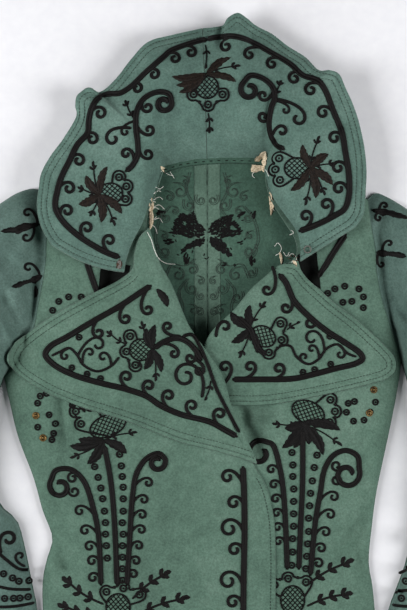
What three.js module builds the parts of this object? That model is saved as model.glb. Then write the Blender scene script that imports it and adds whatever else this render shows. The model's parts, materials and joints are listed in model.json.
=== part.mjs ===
// A wool basque jacket of the middle 1890s, laid flat on its back with its wide collar spread upward.
// Millimetres. +X is toward the wearer's left, +Y toward the collar, +Z up off the table it lies on.
// Plan points are measured from the middle of the chest, and the whole part is centred at the end.
import * as THREE from "three";

// Cloth and sewing
const BACK_CLOTH = 1.5;
const FRONT_CLOTH = 2;
const SLEEVE_CLOTH = 1.6;
const SEAM = 0.3;
const ROLL_RADIUS = 3;
const ROLL_CLEAR = 2.2;

// How high the empty garment stands off the table
const LIE = BACK_CLOTH + SEAM;
const ARMHOLE_LIFT = 13;
const SHOULDER_ROUND = 55;
const OVERLAP_LIFT = FRONT_CLOTH + 2 * SEAM;
const REVER_LIFT = 2 * ROLL_RADIUS - FRONT_CLOTH + 3 * SEAM;
const REVER_SPRING = 2 * ROLL_RADIUS - FRONT_CLOTH;
const REVER_SETTLE = 35;
const LAID_GAP = 0.8;
const CLOTH_BRIDGE = 5;

// Braids
const BORDER_BRAID = { width: 5, height: 1.8, step: 8 };
const SCROLL_BRAID = { width: 5.5, height: 2.2, step: 5 };
const STEM_BRAID = { width: 4, height: 1.6, step: 14 };
const BRAID_GAP = 0.35;

// How finely each panel is cut into faces
const ARMHOLE_STEPS = 14;
const SIDE_STEPS = 12;
const SLEEVE_STEPS = 15;
const PANEL_ACROSS = [0, 0.03, 0.09, 0.18, 0.32, 0.46, 0.59, 0.71, 0.81, 0.9, 1];

function table(names, rows) {
  const keys = names.split(" ");
  return rows.map((row) => Object.fromEntries(keys.map((key, i) => [key, row[i]])));
}

// Plan outlines, each from the shoulder or the neck downward
const RIGHT_ARMHOLE = table("x y", [
  [-170, 103], [-176, 74], [-177, 52], [-179, 33], [-185, 2], [-191, -28], [-206, -58], [-225, -81],
]);
const RIGHT_SIDE = table("x y", [
  [-225, -81], [-218, -111], [-209, -148], [-191, -196], [-181, -232], [-170, -264], [-176, -286],
  [-181, -312], [-179, -386], [-179, -470],
]);
const LEFT_ARMHOLE = table("x y", [
  [185, 119], [188, 93], [193, 60], [194, 38], [199, 11], [206, -12], [214, -37], [223, -64],
]);
const LEFT_SIDE = table("x y", [
  [223, -64], [220, -86], [211, -134], [202, -176], [194, -215], [190, -246], [186, -292],
  [190, -316], [194, -364], [195, -476],
]);
const RIGHT_NECK = table("x y", [[-46, 151], [-54, 124], [-62, 106], [-65, 86]]);
const LEFT_NECK = table("x y", [[71, 160], [70, 140], [76, 118], [92, 92], [103, 73], [104, 55]]);
const RIGHT_ROLL = table("x y", [
  [-60, 86], [-55, 67], [-49, 48], [-36, 24], [-14, -27], [2, -49], [22, -80], [32, -115], [50, -153],
  [57, -168],
]);
const LEFT_ROLL = table("x y", [[82, 44], [70, 33], [53, 18], [36, -3], [8, -31], [-2, -50]]);
const RIGHT_CLOSING = table("x y", [
  [57, -181], [69, -201], [77, -231], [80, -261], [80, -342], [77, -480],
]);
const LEFT_UNDERLAP = table("x y", [
  [-2, -72], [10, -106], [25, -151], [36, -196], [41, -231], [41, -342], [38, -482],
]);
const BACK_NECK = table("x y", [[-45, 153], [-26, 159], [4, 163], [36, 164], [70, 162]]);
const CENTRE_BACK = table("x y", [[4, 163], [5, -160], [6, -486]]);

// The reverse of each front turned back: edges from the neck round the tip to the foot of the roll
const RIGHT_REVER_TOP = table("x y", [
  [-60, 86], [-71, 76], [-77, 57], [-79, 40], [-93, 29], [-123, 13], [-168, -12], [-192, -28],
  [-209, -42],
]);
const RIGHT_REVER_OUTER = table("x y", [
  [-209, -42], [-217, -58], [-213, -72], [-179, -96], [-144, -111], [-78, -132], [-25, -153],
  [12, -162], [47, -172], [59, -177],
]);
const LEFT_REVER_TOP = table("x y", [
  [82, 44], [90, 46], [104, 44], [116, 29], [129, 17], [147, 1], [171, -17], [202, -45],
]);
const LEFT_REVER_OUTER = table("x y", [
  [202, -45], [214, -59], [215, -73], [206, -82], [186, -88], [124, -102], [70, -111], [14, -111],
]);

// Crown of the laid body above the table, from the shoulders to the hem
const CROWN = table("level height", [
  [-490, 9], [-380, 11], [-275, 13], [-200, 18], [-120, 23], [-40, 22], [40, 19], [110, 16], [170, 14],
]);

// Collar stations from the notch round to the centre back: the neck edge, the ridge of the stand
// as a share of the way out, and the outer edge, with the fluted places higher
const RIGHT_COLLAR = table("inX inY inZ ridgeAt ridgeZ outX outY outZ bow", [
  [-89, 37, 27, 0.1, 28, -169, 67, 31, 6],
  [-86, 52, 27, 0.1, 29, -180, 86, 32, 3],
  [-80, 69, 27, 0.1, 31, -185, 108, 34, 0],
  [-68, 92, 27, 0.1, 32, -183, 130, 35, 0],
  [-62, 109, 25, 0.1, 34, -180, 147, 35, 0],
  [-56, 123, 20, 0.13, 37, -170, 166, 33, 0],
  [-51, 136, 14, 0.18, 40, -155, 187, 31, 0],
  [-47, 148, 9, 0.25, 43, -142, 210, 29, 0],
  [-45, 155, 6, 0.3, 44, -143, 222, 31, 0],
  [-42, 157, 5, 0.33, 45, -140, 234, 36, 0],
  [-38, 158, 5, 0.36, 46, -127, 242, 36, 0],
  [-33, 159, 5, 0.39, 47, -115, 238, 29, 0],
  [-26, 161, 5, 0.42, 48, -98, 253, 25, 0],
  [-19, 162, 5, 0.45, 49, -81, 275, 23, 0],
  [-11, 164, 5, 0.48, 50, -62, 294, 26, 0],
  [-4, 164.5, 5, 0.5, 50, -35, 302, 24, 0],
  [3.5, 165, 5, 0.51, 50, -1.5, 310, 20, 0],
]);
const LEFT_COLLAR = table("inX inY inZ ridgeAt ridgeZ outX outY outZ bow", [
  [108, 49, 27, 0.1, 29, 169, 87, 32, 0],
  [108, 66, 27, 0.1, 30, 178, 102, 33, 0],
  [104, 82, 27, 0.1, 31, 180, 125, 34, 0],
  [93, 98, 27, 0.1, 33, 181, 150, 34, 0],
  [82, 113, 25, 0.1, 35, 179, 174, 33, 0],
  [75, 126, 20, 0.13, 37, 174, 199, 32, 0],
  [71, 138, 15, 0.18, 40, 167, 222, 31, 0],
  [69, 150, 10, 0.24, 43, 158, 242, 33, 0],
  [70, 160, 6, 0.29, 44, 151, 256, 38, 0],
  [69.5, 165, 5, 0.33, 45, 140, 261, 40, 0],
  [65, 165.5, 5, 0.37, 46, 128, 262, 33, 0],
  [58, 165.5, 5, 0.41, 47, 114, 277, 27, 0],
  [50, 166, 5, 0.44, 48, 95, 289, 24, 0],
  [42, 166, 5, 0.47, 49, 77, 303, 23, 0],
  [35, 166, 5, 0.49, 50, 59, 312, 26, 0],
  [29, 166, 5, 0.5, 50, 48, 320, 32, 0],
  [24, 166, 5, 0.5, 50, 38, 325, 36, 0],
  [18, 165.7, 5, 0.5, 50, 27, 320, 32, 0],
  [12, 165.3, 5, 0.51, 50, 20, 312, 25, 0],
  [4.5, 165, 5, 0.51, 50, -0.5, 310, 20, 0],
]);
const COLLAR_ACROSS = [0, 0.05, 0.1, 0.18, 0.27, 0.36, 0.45, 0.54, 0.66, 0.78, 0.9, 1];

// Sleeves from the armhole to the wrist: the inner edge, the outer edge, and the puff's height
const RIGHT_SLEEVE_INNER = table("x y", [
  [-225, -81], [-232, -102], [-239, -134], [-242, -168], [-237, -205], [-228, -227], [-211, -243],
  [-203, -268], [-194, -312], [-188, -342], [-185, -386], [-189, -465], [-197, -515],
]);
const RIGHT_SLEEVE_OUTER = table("x y", [
  [-170, 103], [-178, 124], [-190, 131], [-208, 127], [-228, 115], [-273, 82], [-315, 28], [-338, -39],
  [-344, -106], [-338, -174], [-322, -241], [-304, -308], [-286, -375], [-273, -442], [-266, -515],
]);
const LEFT_SLEEVE_INNER = table("x y", [
  [223, -64], [231, -90], [240, -130], [244, -174], [240, -213], [236, -252], [228, -291],
  [216, -324], [208, -346], [204, -392], [207, -470], [213, -521],
]);
const LEFT_SLEEVE_OUTER = table("x y", [
  [185, 119], [194, 126], [206, 122], [228, 109], [273, 76], [315, 22], [338, -45], [344, -112],
  [338, -179], [322, -246], [304, -314], [286, -381], [273, -448], [266, -521],
]);
const PUFF = table("level height", [
  [0, 15], [0.06, 26], [0.14, 38], [0.26, 44], [0.4, 42], [0.52, 32], [0.64, 20], [0.78, 14], [1, 12],
]);
const HEAD_GATHERS = { waves: 4.5, depth: 2.6, reach: 0.16 };
const SLEEVE_FAN = 1.8;
const ARMHOLE_FADE = 4;

// Braid routes on the panels, in plan
const RIGHT_COLLAR_BRAID = table("x y", [
  [-93, 53], [-107, 58], [-124, 67], [-143, 80], [-158, 95], [-165, 109], [-163, 126], [-158, 143],
  [-149, 161], [-141, 178], [-129, 192], [-128, 204], [-125, 217], [-118, 229], [-108, 235],
  [-93, 236], [-81, 243], [-66, 257], [-43, 277], [-38, 282], [-22, 289], [-3, 295],
]);
const LEFT_COLLAR_BRAID = table("x y", [
  [1, 296], [20, 299], [48, 295], [77, 280], [97, 268], [110, 256], [126, 250], [135, 239],
  [145, 215], [154, 193], [158, 170], [162, 144], [162, 122], [157, 107], [145, 99], [125, 89],
  [106, 82],
]);
const RIGHT_REVER_BRAID = table("x y", [
  [-58, 22], [-69, 15], [-93, -1], [-123, -18], [-153, -36], [-171, -46], [-177, -55], [-168, -66],
  [-145, -78], [-115, -87], [-86, -94], [-63, -102], [-48, -112], [-25, -122], [7, -130], [24, -139],
  [38, -147],
]);
const LEFT_REVER_BRAID = table("x y", [
  [84, 35], [92, 25], [101, 5], [119, -14], [139, -30], [158, -42], [175, -54], [178, -60],
  [171, -65], [147, -71], [124, -77], [101, -82], [62, -83], [32, -83],
]);
const EDGE_BRAID = table("x y", [[44, -180], [45, -199], [46, -246], [45, -308], [44, -400], [42, -478]]);
const RIGHT_COLLAR_SCROLL = table("x y", [
  [-39, 216], [-35, 222], [-38, 233], [-50, 236], [-66, 229], [-74, 215], [-75, 196], [-73, 180],
  [-73, 167], [-79, 155], [-87, 148],
]);
const LEFT_COLLAR_SCROLL = table("x y", [
  [45, 236], [44, 246], [52, 254], [66, 251], [77, 241], [79, 230], [75, 218], [73, 201], [76, 187],
  [83, 177], [90, 172],
]);
const RIGHT_REVER_STEM = table("x y", [
  [-56, -49], [-44, -41], [-30, -37], [-18, -41], [-9, -50], [-2, -62],
]);
const LEFT_REVER_STEM = table("x y", [
  [38, -13], [46, -20], [53, -28], [57, -39], [62, -49], [70, -56],
]);
const RIGHT_FRONT_STEMS = {
  outer: table("x y", [[-163, -204], [-171, -196], [-166, -186], [-150, -184], [-135, -196],
    [-124, -226], [-118, -257], [-115, -315]]),
  centre: table("x y", [[-111, -157], [-104, -196], [-100, -241], [-97, -315]]),
  inner: table("x y", [[-50, -178], [-43, -172], [-50, -166], [-64, -172], [-75, -189], [-79, -210],
    [-82, -250], [-86, -315]]),
};
const LEFT_FRONT_STEMS = {
  outer: table("x y", [[162, -190], [175, -184], [173, -170], [160, -163], [146, -168], [136, -183],
    [131, -210], [126, -240], [120, -304]]),
  centre: table("x y", [[111, -139], [111, -199], [109, -246], [107, -297]]),
  inner: table("x y", [[80, -160], [86, -185], [90, -215], [92, -246], [94, -297]]),
};
const RIGHT_SHOULDER_BRAID = table("x y", [[-135, 36], [-127, 26], [-119, 16]]);
const LEFT_SHOULDER_BRAID = table("x y", [[152, 66], [144, 56], [134, 46]]);

// Neck fastening
const HOOK = { x: -94, y: 45, length: 9, width: 4, height: 1.2 };
const EYE = { x: 116, y: 62, radius: 3.8, wire: 0.9 };

// Cloth and trimming
const WOOL = new THREE.MeshStandardMaterial({ color: 0x4f6a5e, roughness: 0.95, metalness: 0, name: "wool" });
const BRAID = new THREE.MeshStandardMaterial({ color: 0x15120f, roughness: 0.8, metalness: 0, name: "braid" });
const STEEL = new THREE.MeshStandardMaterial({ color: 0x9a9c98, roughness: 0.4, metalness: 1, name: "hook" });

const clamp = (value, low, high) => Math.min(high, Math.max(low, value));
const mix = (a, b, share) => a + (b - a) * share;
const ease = (value, low, high) => THREE.MathUtils.smoothstep(value, low, high);

// A smooth plan curve through the rows, read by its share of length
function curve(rows) {
  const points = rows.map((row) => new THREE.Vector3(row.x, row.y, 0));
  const spline = new THREE.CatmullRomCurve3(points, false, "centripetal");
  return (share) => spline.getPointAt(clamp(share, 0, 1));
}

// A cubic through four values that are evenly spaced
function cubic(before, from, to, after, share) {
  const leave = (to - before) / 2;
  const arrive = (after - from) / 2;
  const a = 2 * from - 2 * to + leave + arrive;
  const b = -3 * from + 3 * to - 2 * leave - arrive;
  return ((a * share + b) * share + leave) * share + from;
}

// All the columns of a table at a share of the way down it
function station(rows, share) {
  const place = clamp(share, 0, 1) * (rows.length - 1);
  const row = Math.min(Math.floor(place), rows.length - 2);
  const pick = (i) => rows[clamp(i, 0, rows.length - 1)];
  const read = (key) =>
    cubic(pick(row - 1)[key], pick(row)[key], pick(row + 1)[key], pick(row + 2)[key], place - row);
  return Object.fromEntries(Object.keys(rows[0]).map((key) => [key, read(key)]));
}

// The height column of a table of levels, eased from row to row
function heightAt(rows, level) {
  const next = rows.findIndex((row) => row.level >= level);
  if (next === 0) return rows[0].height;
  if (next < 0) return rows[rows.length - 1].height;
  const [low, high] = [rows[next - 1], rows[next]];
  const share = (level - low.level) / (high.level - low.level);
  return mix(low.height, high.height, mix(share, ease(share, 0, 1), 0.5));
}

// How far across an edge lies at a level, for an edge that runs down the garment
function edgeReader(...edges) {
  const points = edges.flatMap((rows) => {
    const path = curve(rows);
    return Array.from({ length: 41 }, (_, i) => path(i / 40));
  });
  return (level) => {
    const next = points.findIndex((point) => point.y <= level);
    if (next === 0) return points[0].x;
    if (next < 0) return points[points.length - 1].x;
    const [above, below] = [points[next - 1], points[next]];
    const drop = above.y - below.y || 1;
    return mix(above.x, below.x, (above.y - level) / drop);
  };
}

const rightEdge = edgeReader(RIGHT_ARMHOLE, RIGHT_SIDE);
const leftEdge = edgeReader(LEFT_ARMHOLE, LEFT_SIDE);
const underlapEdge = edgeReader(LEFT_ROLL, LEFT_UNDERLAP);

// A flattened tube's profile: steep at its folded sides and level across the middle
function dome(across) {
  return Math.sqrt(Math.max(0, 1 - Math.abs(2 * across - 1) ** 4));
}

// How open an armhole stands at a level, closed at the shoulder and at the underarm
function armholeOpen(armhole, level) {
  const shoulder = armhole[0].y;
  const underarm = armhole[armhole.length - 1].y;
  const share = clamp((level - underarm) / (shoulder - underarm), 0, 1);
  return ARMHOLE_LIFT * Math.sin(Math.PI * share) ** 0.7;
}

// The shoulder seams, where the front comes down to the back
function shoulderFall(x, y) {
  const [tip, neck] =
    x < 0 ? [RIGHT_ARMHOLE[0], RIGHT_NECK[0]] : [LEFT_ARMHOLE[0], LEFT_NECK[0]];
  const seam = mix(neck.y, tip.y, (x - neck.x) / (tip.x - neck.x));
  const below = clamp((seam - y) / SHOULDER_ROUND, 0, 1);
  return Math.sqrt(Math.max(0, 1 - (1 - below) ** 4));
}

// Outer face of the left front, the lower of the two
function leftFrontTop(x, y) {
  const [right, left] = [rightEdge(y), leftEdge(y)];
  const across = clamp((x - right) / (left - right), 0, 1);
  const open = mix(armholeOpen(RIGHT_ARMHOLE, y), armholeOpen(LEFT_ARMHOLE, y), across);
  const rise = open + (heightAt(CROWN, y) - open) * dome(across);
  return LIE + FRONT_CLOTH + shoulderFall(x, y) * rise;
}

// Outer face of the right front, which rides up over the underlap and over the left rever
function rightFrontTop(x, y) {
  const reached = ease(x, underlapEdge(y) - 42, underlapEdge(y) - 8);
  const onRever = ease(y, -160, -122);
  return leftFrontTop(x, y) + reached * (OVERLAP_LIFT + REVER_LIFT * onRever);
}

// A patch between four edges: top and bottom run across it, left and right run down it
function patch(top, bottom, left, right, down, across) {
  const corner = [top(0), top(1), bottom(0), bottom(1)];
  return down.map((v) =>
    across.map((u) => {
      const point = new THREE.Vector3();
      point.addScaledVector(top(u), 1 - v).addScaledVector(bottom(u), v);
      point.addScaledVector(left(v), 1 - u).addScaledVector(right(v), u);
      point.addScaledVector(corner[0], -(1 - u) * (1 - v)).addScaledVector(corner[1], -u * (1 - v));
      point.addScaledVector(corner[2], -(1 - u) * v).addScaledVector(corner[3], -u * v);
      return point;
    }),
  );
}

function line(from, to) {
  const [a, b] = [new THREE.Vector3(from.x, from.y, 0), new THREE.Vector3(to.x, to.y, 0)];
  return (share) => a.clone().lerp(b, share);
}

function evenly(steps) {
  return Array.from({ length: steps + 1 }, (_, i) => i / steps);
}

// Normals of a grid of points, each the sum of the cells around it, up at the grid's middle
function gridNormals(grid) {
  const normals = grid.map((row) => row.map(() => new THREE.Vector3()));
  for (let i = 0; i < grid.length - 1; i++)
    for (let j = 0; j < grid[0].length - 1; j++) {
      const rising = grid[i + 1][j + 1].clone().sub(grid[i][j]);
      const cell = rising.cross(grid[i + 1][j].clone().sub(grid[i][j + 1]));
      for (const [di, dj] of [[0, 0], [0, 1], [1, 0], [1, 1]]) normals[i + di][j + dj].add(cell);
    }
  const middle = normals[Math.floor(grid.length / 2)][Math.floor(grid[0].length / 2)];
  const up = Math.sign(middle.z);
  return normals.map((row) => row.map((normal) => normal.multiplyScalar(up).normalize()));
}

// A closed wall of cloth under a grid of outer points, no lower than its resting height
function wall(grid, thickness, rest) {
  const [rows, columns] = [grid.length, grid[0].length];
  const normals = gridNormals(grid);
  const outer = grid.flat();
  const inner = grid.flatMap((row, i) =>
    row.map((point, j) => {
      const under = point.clone().addScaledVector(normals[i][j], -thickness);
      under.z = Math.max(under.z, rest);
      return under;
    }),
  );
  const count = outer.length;
  const index = [];
  const face = (a, b, c, d) => index.push(a, b, c, a, c, d);
  for (let i = 0; i < rows - 1; i++)
    for (let j = 0; j < columns - 1; j++) {
      const a = i * columns + j;
      face(a, a + columns, a + columns + 1, a + 1);
      face(count + a, count + a + 1, count + a + columns + 1, count + a + columns);
    }
  for (let j = 0; j < columns - 1; j++) {
    const last = (rows - 1) * columns + j;
    face(j, j + 1, count + j + 1, count + j);
    face(last + 1, last, count + last, count + last + 1);
  }
  for (let i = 0; i < rows - 1; i++) {
    const first = i * columns;
    const last = first + columns - 1;
    face(first + columns, first, count + first, count + first + columns);
    face(last, last + columns, count + last + columns, count + last);
  }
  return solid([...outer, ...inner], index);
}

// A geometry from points and faces, turned so that it encloses its volume
function solid(points, index) {
  let volume = 0;
  for (let i = 0; i < index.length; i += 3) {
    const [a, b, c] = [points[index[i]], points[index[i + 1]], points[index[i + 2]]];
    volume += a.dot(b.clone().cross(c));
  }
  if (volume < 0)
    for (let i = 0; i < index.length; i += 3) [index[i + 1], index[i + 2]] = [index[i + 2], index[i + 1]];
  const geometry = new THREE.BufferGeometry().setFromPoints(points).setIndex(index);
  geometry.computeVertexNormals();
  return geometry;
}

const jacket = new THREE.Group();

function add(name, geometry, material) {
  const mesh = new THREE.Mesh(geometry, material);
  mesh.name = name;
  jacket.add(mesh);
  return mesh;
}

const raise = (grid, height) => grid.map((row) => row.map((point) => point.setZ(height(point.x, point.y))));

// Points of an edge moved sideways in plan, positive to the left of its run
function beside(rows, distance, steps) {
  const path = curve(rows);
  return evenly(steps).map((share) => {
    const point = path(share);
    const run = path(share + 0.01).sub(path(share - 0.01)).normalize();
    return { x: point.x - run.y * distance, y: point.y + run.x * distance };
  });
}

// A body panel's outer edge: the armhole's steps first and then the side's
const ARMHOLE_SHARE = 0.36;
function outerEdge(armhole, side) {
  const [upper, lower] = [curve(armhole), curve(side)];
  return (share) =>
    share <= ARMHOLE_SHARE
      ? upper(share / ARMHOLE_SHARE)
      : lower((share - ARMHOLE_SHARE) / (1 - ARMHOLE_SHARE));
}
const BODY_DOWN = [
  ...evenly(ARMHOLE_STEPS).map((share) => share * ARMHOLE_SHARE),
  ...evenly(SIDE_STEPS).slice(1).map((share) => mix(ARMHOLE_SHARE, 1, share)),
];

// Backs lie flat on the table and are seen only through the neck
function addBack(name, armhole, side, neckSide) {
  const outer = outerEdge(armhole, side);
  const centre = curve(CENTRE_BACK.map((row) => ({ x: row.x + neckSide * SEAM * 0.5, y: row.y })));
  const neck = curve(neckSide < 0 ? BACK_NECK.slice(0, 3) : BACK_NECK.slice(2).reverse());
  const neckPoint = neck(0);
  const shoulder = (share) => line(outer(0), neckPoint)(share / 0.6);
  const top = (share) => (share < 0.6 ? shoulder(share) : neck((share - 0.6) / 0.4));
  const shifted = (share) => top(share).add(new THREE.Vector3(share * neckSide * SEAM * 0.5, 0, 0));
  const grid = patch(shifted, line(outer(1), centre(1)), outer, centre, BODY_DOWN, evenly(5));
  raise(grid, () => BACK_CLOTH);
  return add(name, wall(grid, BACK_CLOTH, 0), WOOL);
}

// Fronts: shoulder seam, outer edge, hem, and the neck, roll and closing edge run together
function addFront(name, armhole, side, innerRows, height) {
  const outer = outerEdge(armhole, side);
  const inner = curve(innerRows);
  const grid = patch(line(outer(0), inner(0)), line(outer(1), inner(1)), outer, inner, BODY_DOWN, PANEL_ACROSS);
  raise(grid, height);
  return add(name, wall(grid, FRONT_CLOTH, LIE), WOOL);
}

// The highest of several panels close round a plan point, or another height where none lies there
function over(panels, otherwise) {
  const tops = panels.map(surface);
  const around = [[0, 0], [-1, 0], [1, 0], [0, -1], [0, 1]];
  return (x, y) => {
    const near = around.map(([i, j]) => [x + i * CLOTH_BRIDGE, y + j * CLOTH_BRIDGE]);
    const top = Math.max(...near.flatMap(([px, py]) => tops.map((read) => read(px, py))));
    return Number.isFinite(top) ? top : otherwise(x, y);
  };
}

// A rever rolls over the front's edge on a round fold and then lies on the front
function addRever(name, rollRows, topRows, outerRows, height, away) {
  const [roll, top, outer] = [curve(rollRows), curve(topRows), curve(outerRows)];
  const foot = line(roll(1), outer(1));
  const across = [0.05, 0.12, 0.22, 0.36, 0.52, 0.68, 0.84, 1];
  const grid = patch(top, foot, roll, outer, evenly(13), across);
  const rows = grid.map((row, i) => {
    const share = i / 13;
    const edge = roll(share);
    const run = roll(share + 0.01).sub(roll(share - 0.01)).normalize();
    const out = new THREE.Vector3(run.y * away, -run.x * away, 0);
    const level = (point) => height(point.x, point.y);
    const turn = [-90, -45, 0, 45].map((degrees) => {
      const angle = THREE.MathUtils.degToRad(degrees);
      const point = edge.clone().addScaledVector(out, ROLL_RADIUS * (1 - Math.cos(angle)));
      return point.setZ(level(point) - FRONT_CLOTH + ROLL_RADIUS * (1 + Math.sin(angle)));
    });
    const laid = row.map((point) => {
      const distance = point.distanceTo(edge);
      const spring = mix(REVER_SPRING, FRONT_CLOTH + LAID_GAP, ease(distance, 4, REVER_SETTLE));
      return point.clone().setZ(level(point) + spring);
    });
    return [...turn, ...laid];
  });
  return add(name, wall(rows, FRONT_CLOTH, LIE), WOOL);
}

// Half the collar: up the stand from the neck seam, over the ridge and down to the fluted edge
function addCollar(name, rows, sections, panels) {
  const carried = over(panels, () => -Infinity);
  const grid = evenly(sections).map((share) => {
    const at = station(rows, share);
    return COLLAR_ACROSS.map((out) => {
      const climb = Math.sin((Math.PI / 2) * Math.min(1, out / at.ridgeAt));
      const fall = Math.cos((Math.PI / 2) * Math.max(0, (out - at.ridgeAt) / (1 - at.ridgeAt)));
      const z = out < at.ridgeAt ? mix(at.inZ, at.ridgeZ, climb) : mix(at.outZ, at.ridgeZ, fall);
      const bow = at.bow * 4 * out * (1 - out);
      const [x, y] = [mix(at.inX, at.outX, out), mix(at.inY, at.outY, out) - bow];
      return new THREE.Vector3(x, y, Math.max(z, carried(x, y) + FRONT_CLOTH + LAID_GAP));
    });
  });
  return add(name, wall(grid, FRONT_CLOTH, 0), WOOL);
}

// Sleeve pieces share an outline: sections fan out from the underarm, and the armhole's curve fades
function sleevePlan(armhole, innerRows, outerRows, away, down, across) {
  const [arm, inner, outer] = [armhole, innerRows, outerRows].map(curve);
  const chord = line(arm(1), arm(0));
  return down.map((v) => {
    const section = line(inner(v ** SLEEVE_FAN), outer(v));
    return across.map((u) => {
      const bow = arm(1 - u).sub(chord(u)).multiplyScalar((1 - v) ** ARMHOLE_FADE);
      return section(u).add(bow).add(new THREE.Vector3(away * SEAM, 0, 0));
    });
  });
}

// The top piece puffs up from the under piece, on gathers at its head
function addSleeve(name, armhole, innerRows, outerRows, height, away) {
  const down = evenly(SLEEVE_STEPS).map((share) => share ** 1.25);
  const across = evenly(ARMHOLE_STEPS);
  const plan = () => sleevePlan(armhole, innerRows, outerRows, away, down, across);
  const under = raise(plan(), () => BACK_CLOTH);
  add(name + "_under", wall(under, BACK_CLOTH, 0), WOOL);
  const arm = curve(armhole);
  const grid = plan();
  grid.forEach((row, i) =>
    row.forEach((point, j) => {
      const [share, side] = [down[i], across[j]];
      const seam = arm(1 - side);
      const gathered = Math.cos(2 * Math.PI * HEAD_GATHERS.waves * side) * ease(share, 0, 0.03);
      const fade = Math.exp(-((share / HEAD_GATHERS.reach) ** 2));
      const puff = heightAt(PUFF, share) + HEAD_GATHERS.depth * gathered * fade;
      const risen = LIE + SLEEVE_CLOTH + puff * dome(side);
      point.setZ(mix(height(seam.x, seam.y), risen, ease(share, 0, 0.08)));
    }),
  );
  return add(name + "_top", wall(grid, SLEEVE_CLOTH, LIE), WOOL);
}

// Reads the height of a panel's upper side at a plan point
function surface(mesh) {
  const position = mesh.geometry.getAttribute("position");
  const index = mesh.geometry.getIndex().array;
  const faces = [];
  for (let i = 0; i < index.length; i += 3) {
    const [a, b, c] = [0, 1, 2].map((k) => new THREE.Vector3().fromBufferAttribute(position, index[i + k]));
    const span = new THREE.Box3().setFromPoints([a, b, c]);
    faces.push({ triangle: new THREE.Triangle(a, b, c), span });
  }
  return (x, y) => {
    let best = -Infinity;
    for (const { triangle, span } of faces) {
      if (x < span.min.x || x > span.max.x || y < span.min.y || y > span.max.y) continue;
      const flat = [triangle.a, triangle.b, triangle.c].map((p) => new THREE.Vector3(p.x, p.y, 0));
      const share = THREE.Triangle.getBarycoord(new THREE.Vector3(x, y, 0), ...flat, new THREE.Vector3());
      if (!share || Math.min(share.x, share.y, share.z) < -1e-6) continue;
      const z = share.x * triangle.a.z + share.y * triangle.b.z + share.z * triangle.c.z;
      best = Math.max(best, z);
    }
    return best;
  };
}

// A braid couched along its route, lifted until no part of it dips into the panels under it
function addBraid(name, rows, kind, panels) {
  const path = curve(rows);
  const spline = new THREE.CatmullRomCurve3(rows.map((row) => new THREE.Vector3(row.x, row.y, 0)));
  const steps = Math.max(2, Math.round(spline.getLength() / kind.step));
  const tops = panels.map(surface);
  const under = (point) => Math.max(...tops.map((top) => top(point.x, point.y)));
  const places = evenly(steps).map((share) => {
    const point = path(share);
    const run = path(share + 0.004).sub(path(share - 0.004)).normalize();
    const side = new THREE.Vector3(-run.y, run.x, 0).multiplyScalar(kind.width / 2);
    const edges = [point.clone().add(side), point, point.clone().sub(side)];
    return { point, side, z: edges.map(under) };
  });
  const lift = places.map(() => BRAID_GAP);
  for (let i = 0; i < steps; i++) {
    const [from, to] = [places[i], places[i + 1]];
    let short = 0;
    for (const share of [0.2, 0.4, 0.6, 0.8])
      for (const reach of [-1, -0.5, 0, 0.5, 1]) {
        const side = from.side.clone().lerp(to.side, share).multiplyScalar(reach);
        const point = from.point.clone().lerp(to.point, share).add(side);
        const low = (place) => mix(place.z[reach < 0 ? 2 : 0], place.z[1], 1 - Math.abs(reach));
        const level = mix(low(from), low(to), share);
        const ground = under(point);
        if (Number.isFinite(ground)) short = Math.max(short, ground - level);
      }
    lift[i] = Math.max(lift[i], BRAID_GAP + short);
    lift[i + 1] = Math.max(lift[i + 1], BRAID_GAP + short);
  }
  const points = places.flatMap(({ point, side, z }, i) => {
    const foot = z.map((value) => (Number.isFinite(value) ? value : z[1]) + lift[i]);
    const crest = Math.max(...foot) + kind.height;
    return [
      point.clone().add(side).setZ(foot[0]),
      point.clone().addScaledVector(side, 0.55).setZ(crest),
      point.clone().addScaledVector(side, -0.55).setZ(crest),
      point.clone().sub(side).setZ(foot[2]),
      point.clone().setZ(foot[1]),
    ];
  });
  const ring = 5;
  const index = [];
  for (let i = 0; i < steps; i++)
    for (let j = 0; j < ring; j++) {
      const [a, b] = [i * ring + j, i * ring + ((j + 1) % ring)];
      index.push(a, b, b + ring, a, b + ring, a + ring);
    }
  const end = steps * ring;
  for (const [first, flip] of [[0, true], [end, false]])
    for (const [p, q] of [[0, 1], [1, 2], [2, 3]]) {
      const fan = [first + 4, first + p, first + q];
      index.push(...(flip ? fan.reverse() : fan));
    }
  return add(name, solid(points, index), BRAID);
}

addBack("back_right", RIGHT_ARMHOLE, RIGHT_SIDE, -1);
addBack("back_left", LEFT_ARMHOLE, LEFT_SIDE, 1);

const sleeveRight = addSleeve(
  "sleeve_right", RIGHT_ARMHOLE, RIGHT_SLEEVE_INNER, RIGHT_SLEEVE_OUTER, rightFrontTop, -1,
);
const sleeveLeft = addSleeve(
  "sleeve_left", LEFT_ARMHOLE, LEFT_SLEEVE_INNER, LEFT_SLEEVE_OUTER, leftFrontTop, 1,
);

const setBack = ROLL_RADIUS + ROLL_CLEAR;
const leftInner = [...LEFT_NECK, ...beside(LEFT_ROLL, setBack, 6), ...LEFT_UNDERLAP];
const frontLeft = addFront("front_left", LEFT_ARMHOLE, LEFT_SIDE, leftInner, leftFrontTop);
const onLeft = over([frontLeft, sleeveLeft], leftFrontTop);
const reverLeft = addRever("rever_left", LEFT_ROLL, LEFT_REVER_TOP, LEFT_REVER_OUTER, onLeft, -1);

const rightInner = [...RIGHT_NECK, ...beside(RIGHT_ROLL, -setBack, 10), ...RIGHT_CLOSING];
const frontRight = addFront("front_right", RIGHT_ARMHOLE, RIGHT_SIDE, rightInner, rightFrontTop);
const onRight = over([frontRight, sleeveRight], rightFrontTop);
const reverRight = addRever("rever_right", RIGHT_ROLL, RIGHT_REVER_TOP, RIGHT_REVER_OUTER, onRight, 1);

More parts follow.
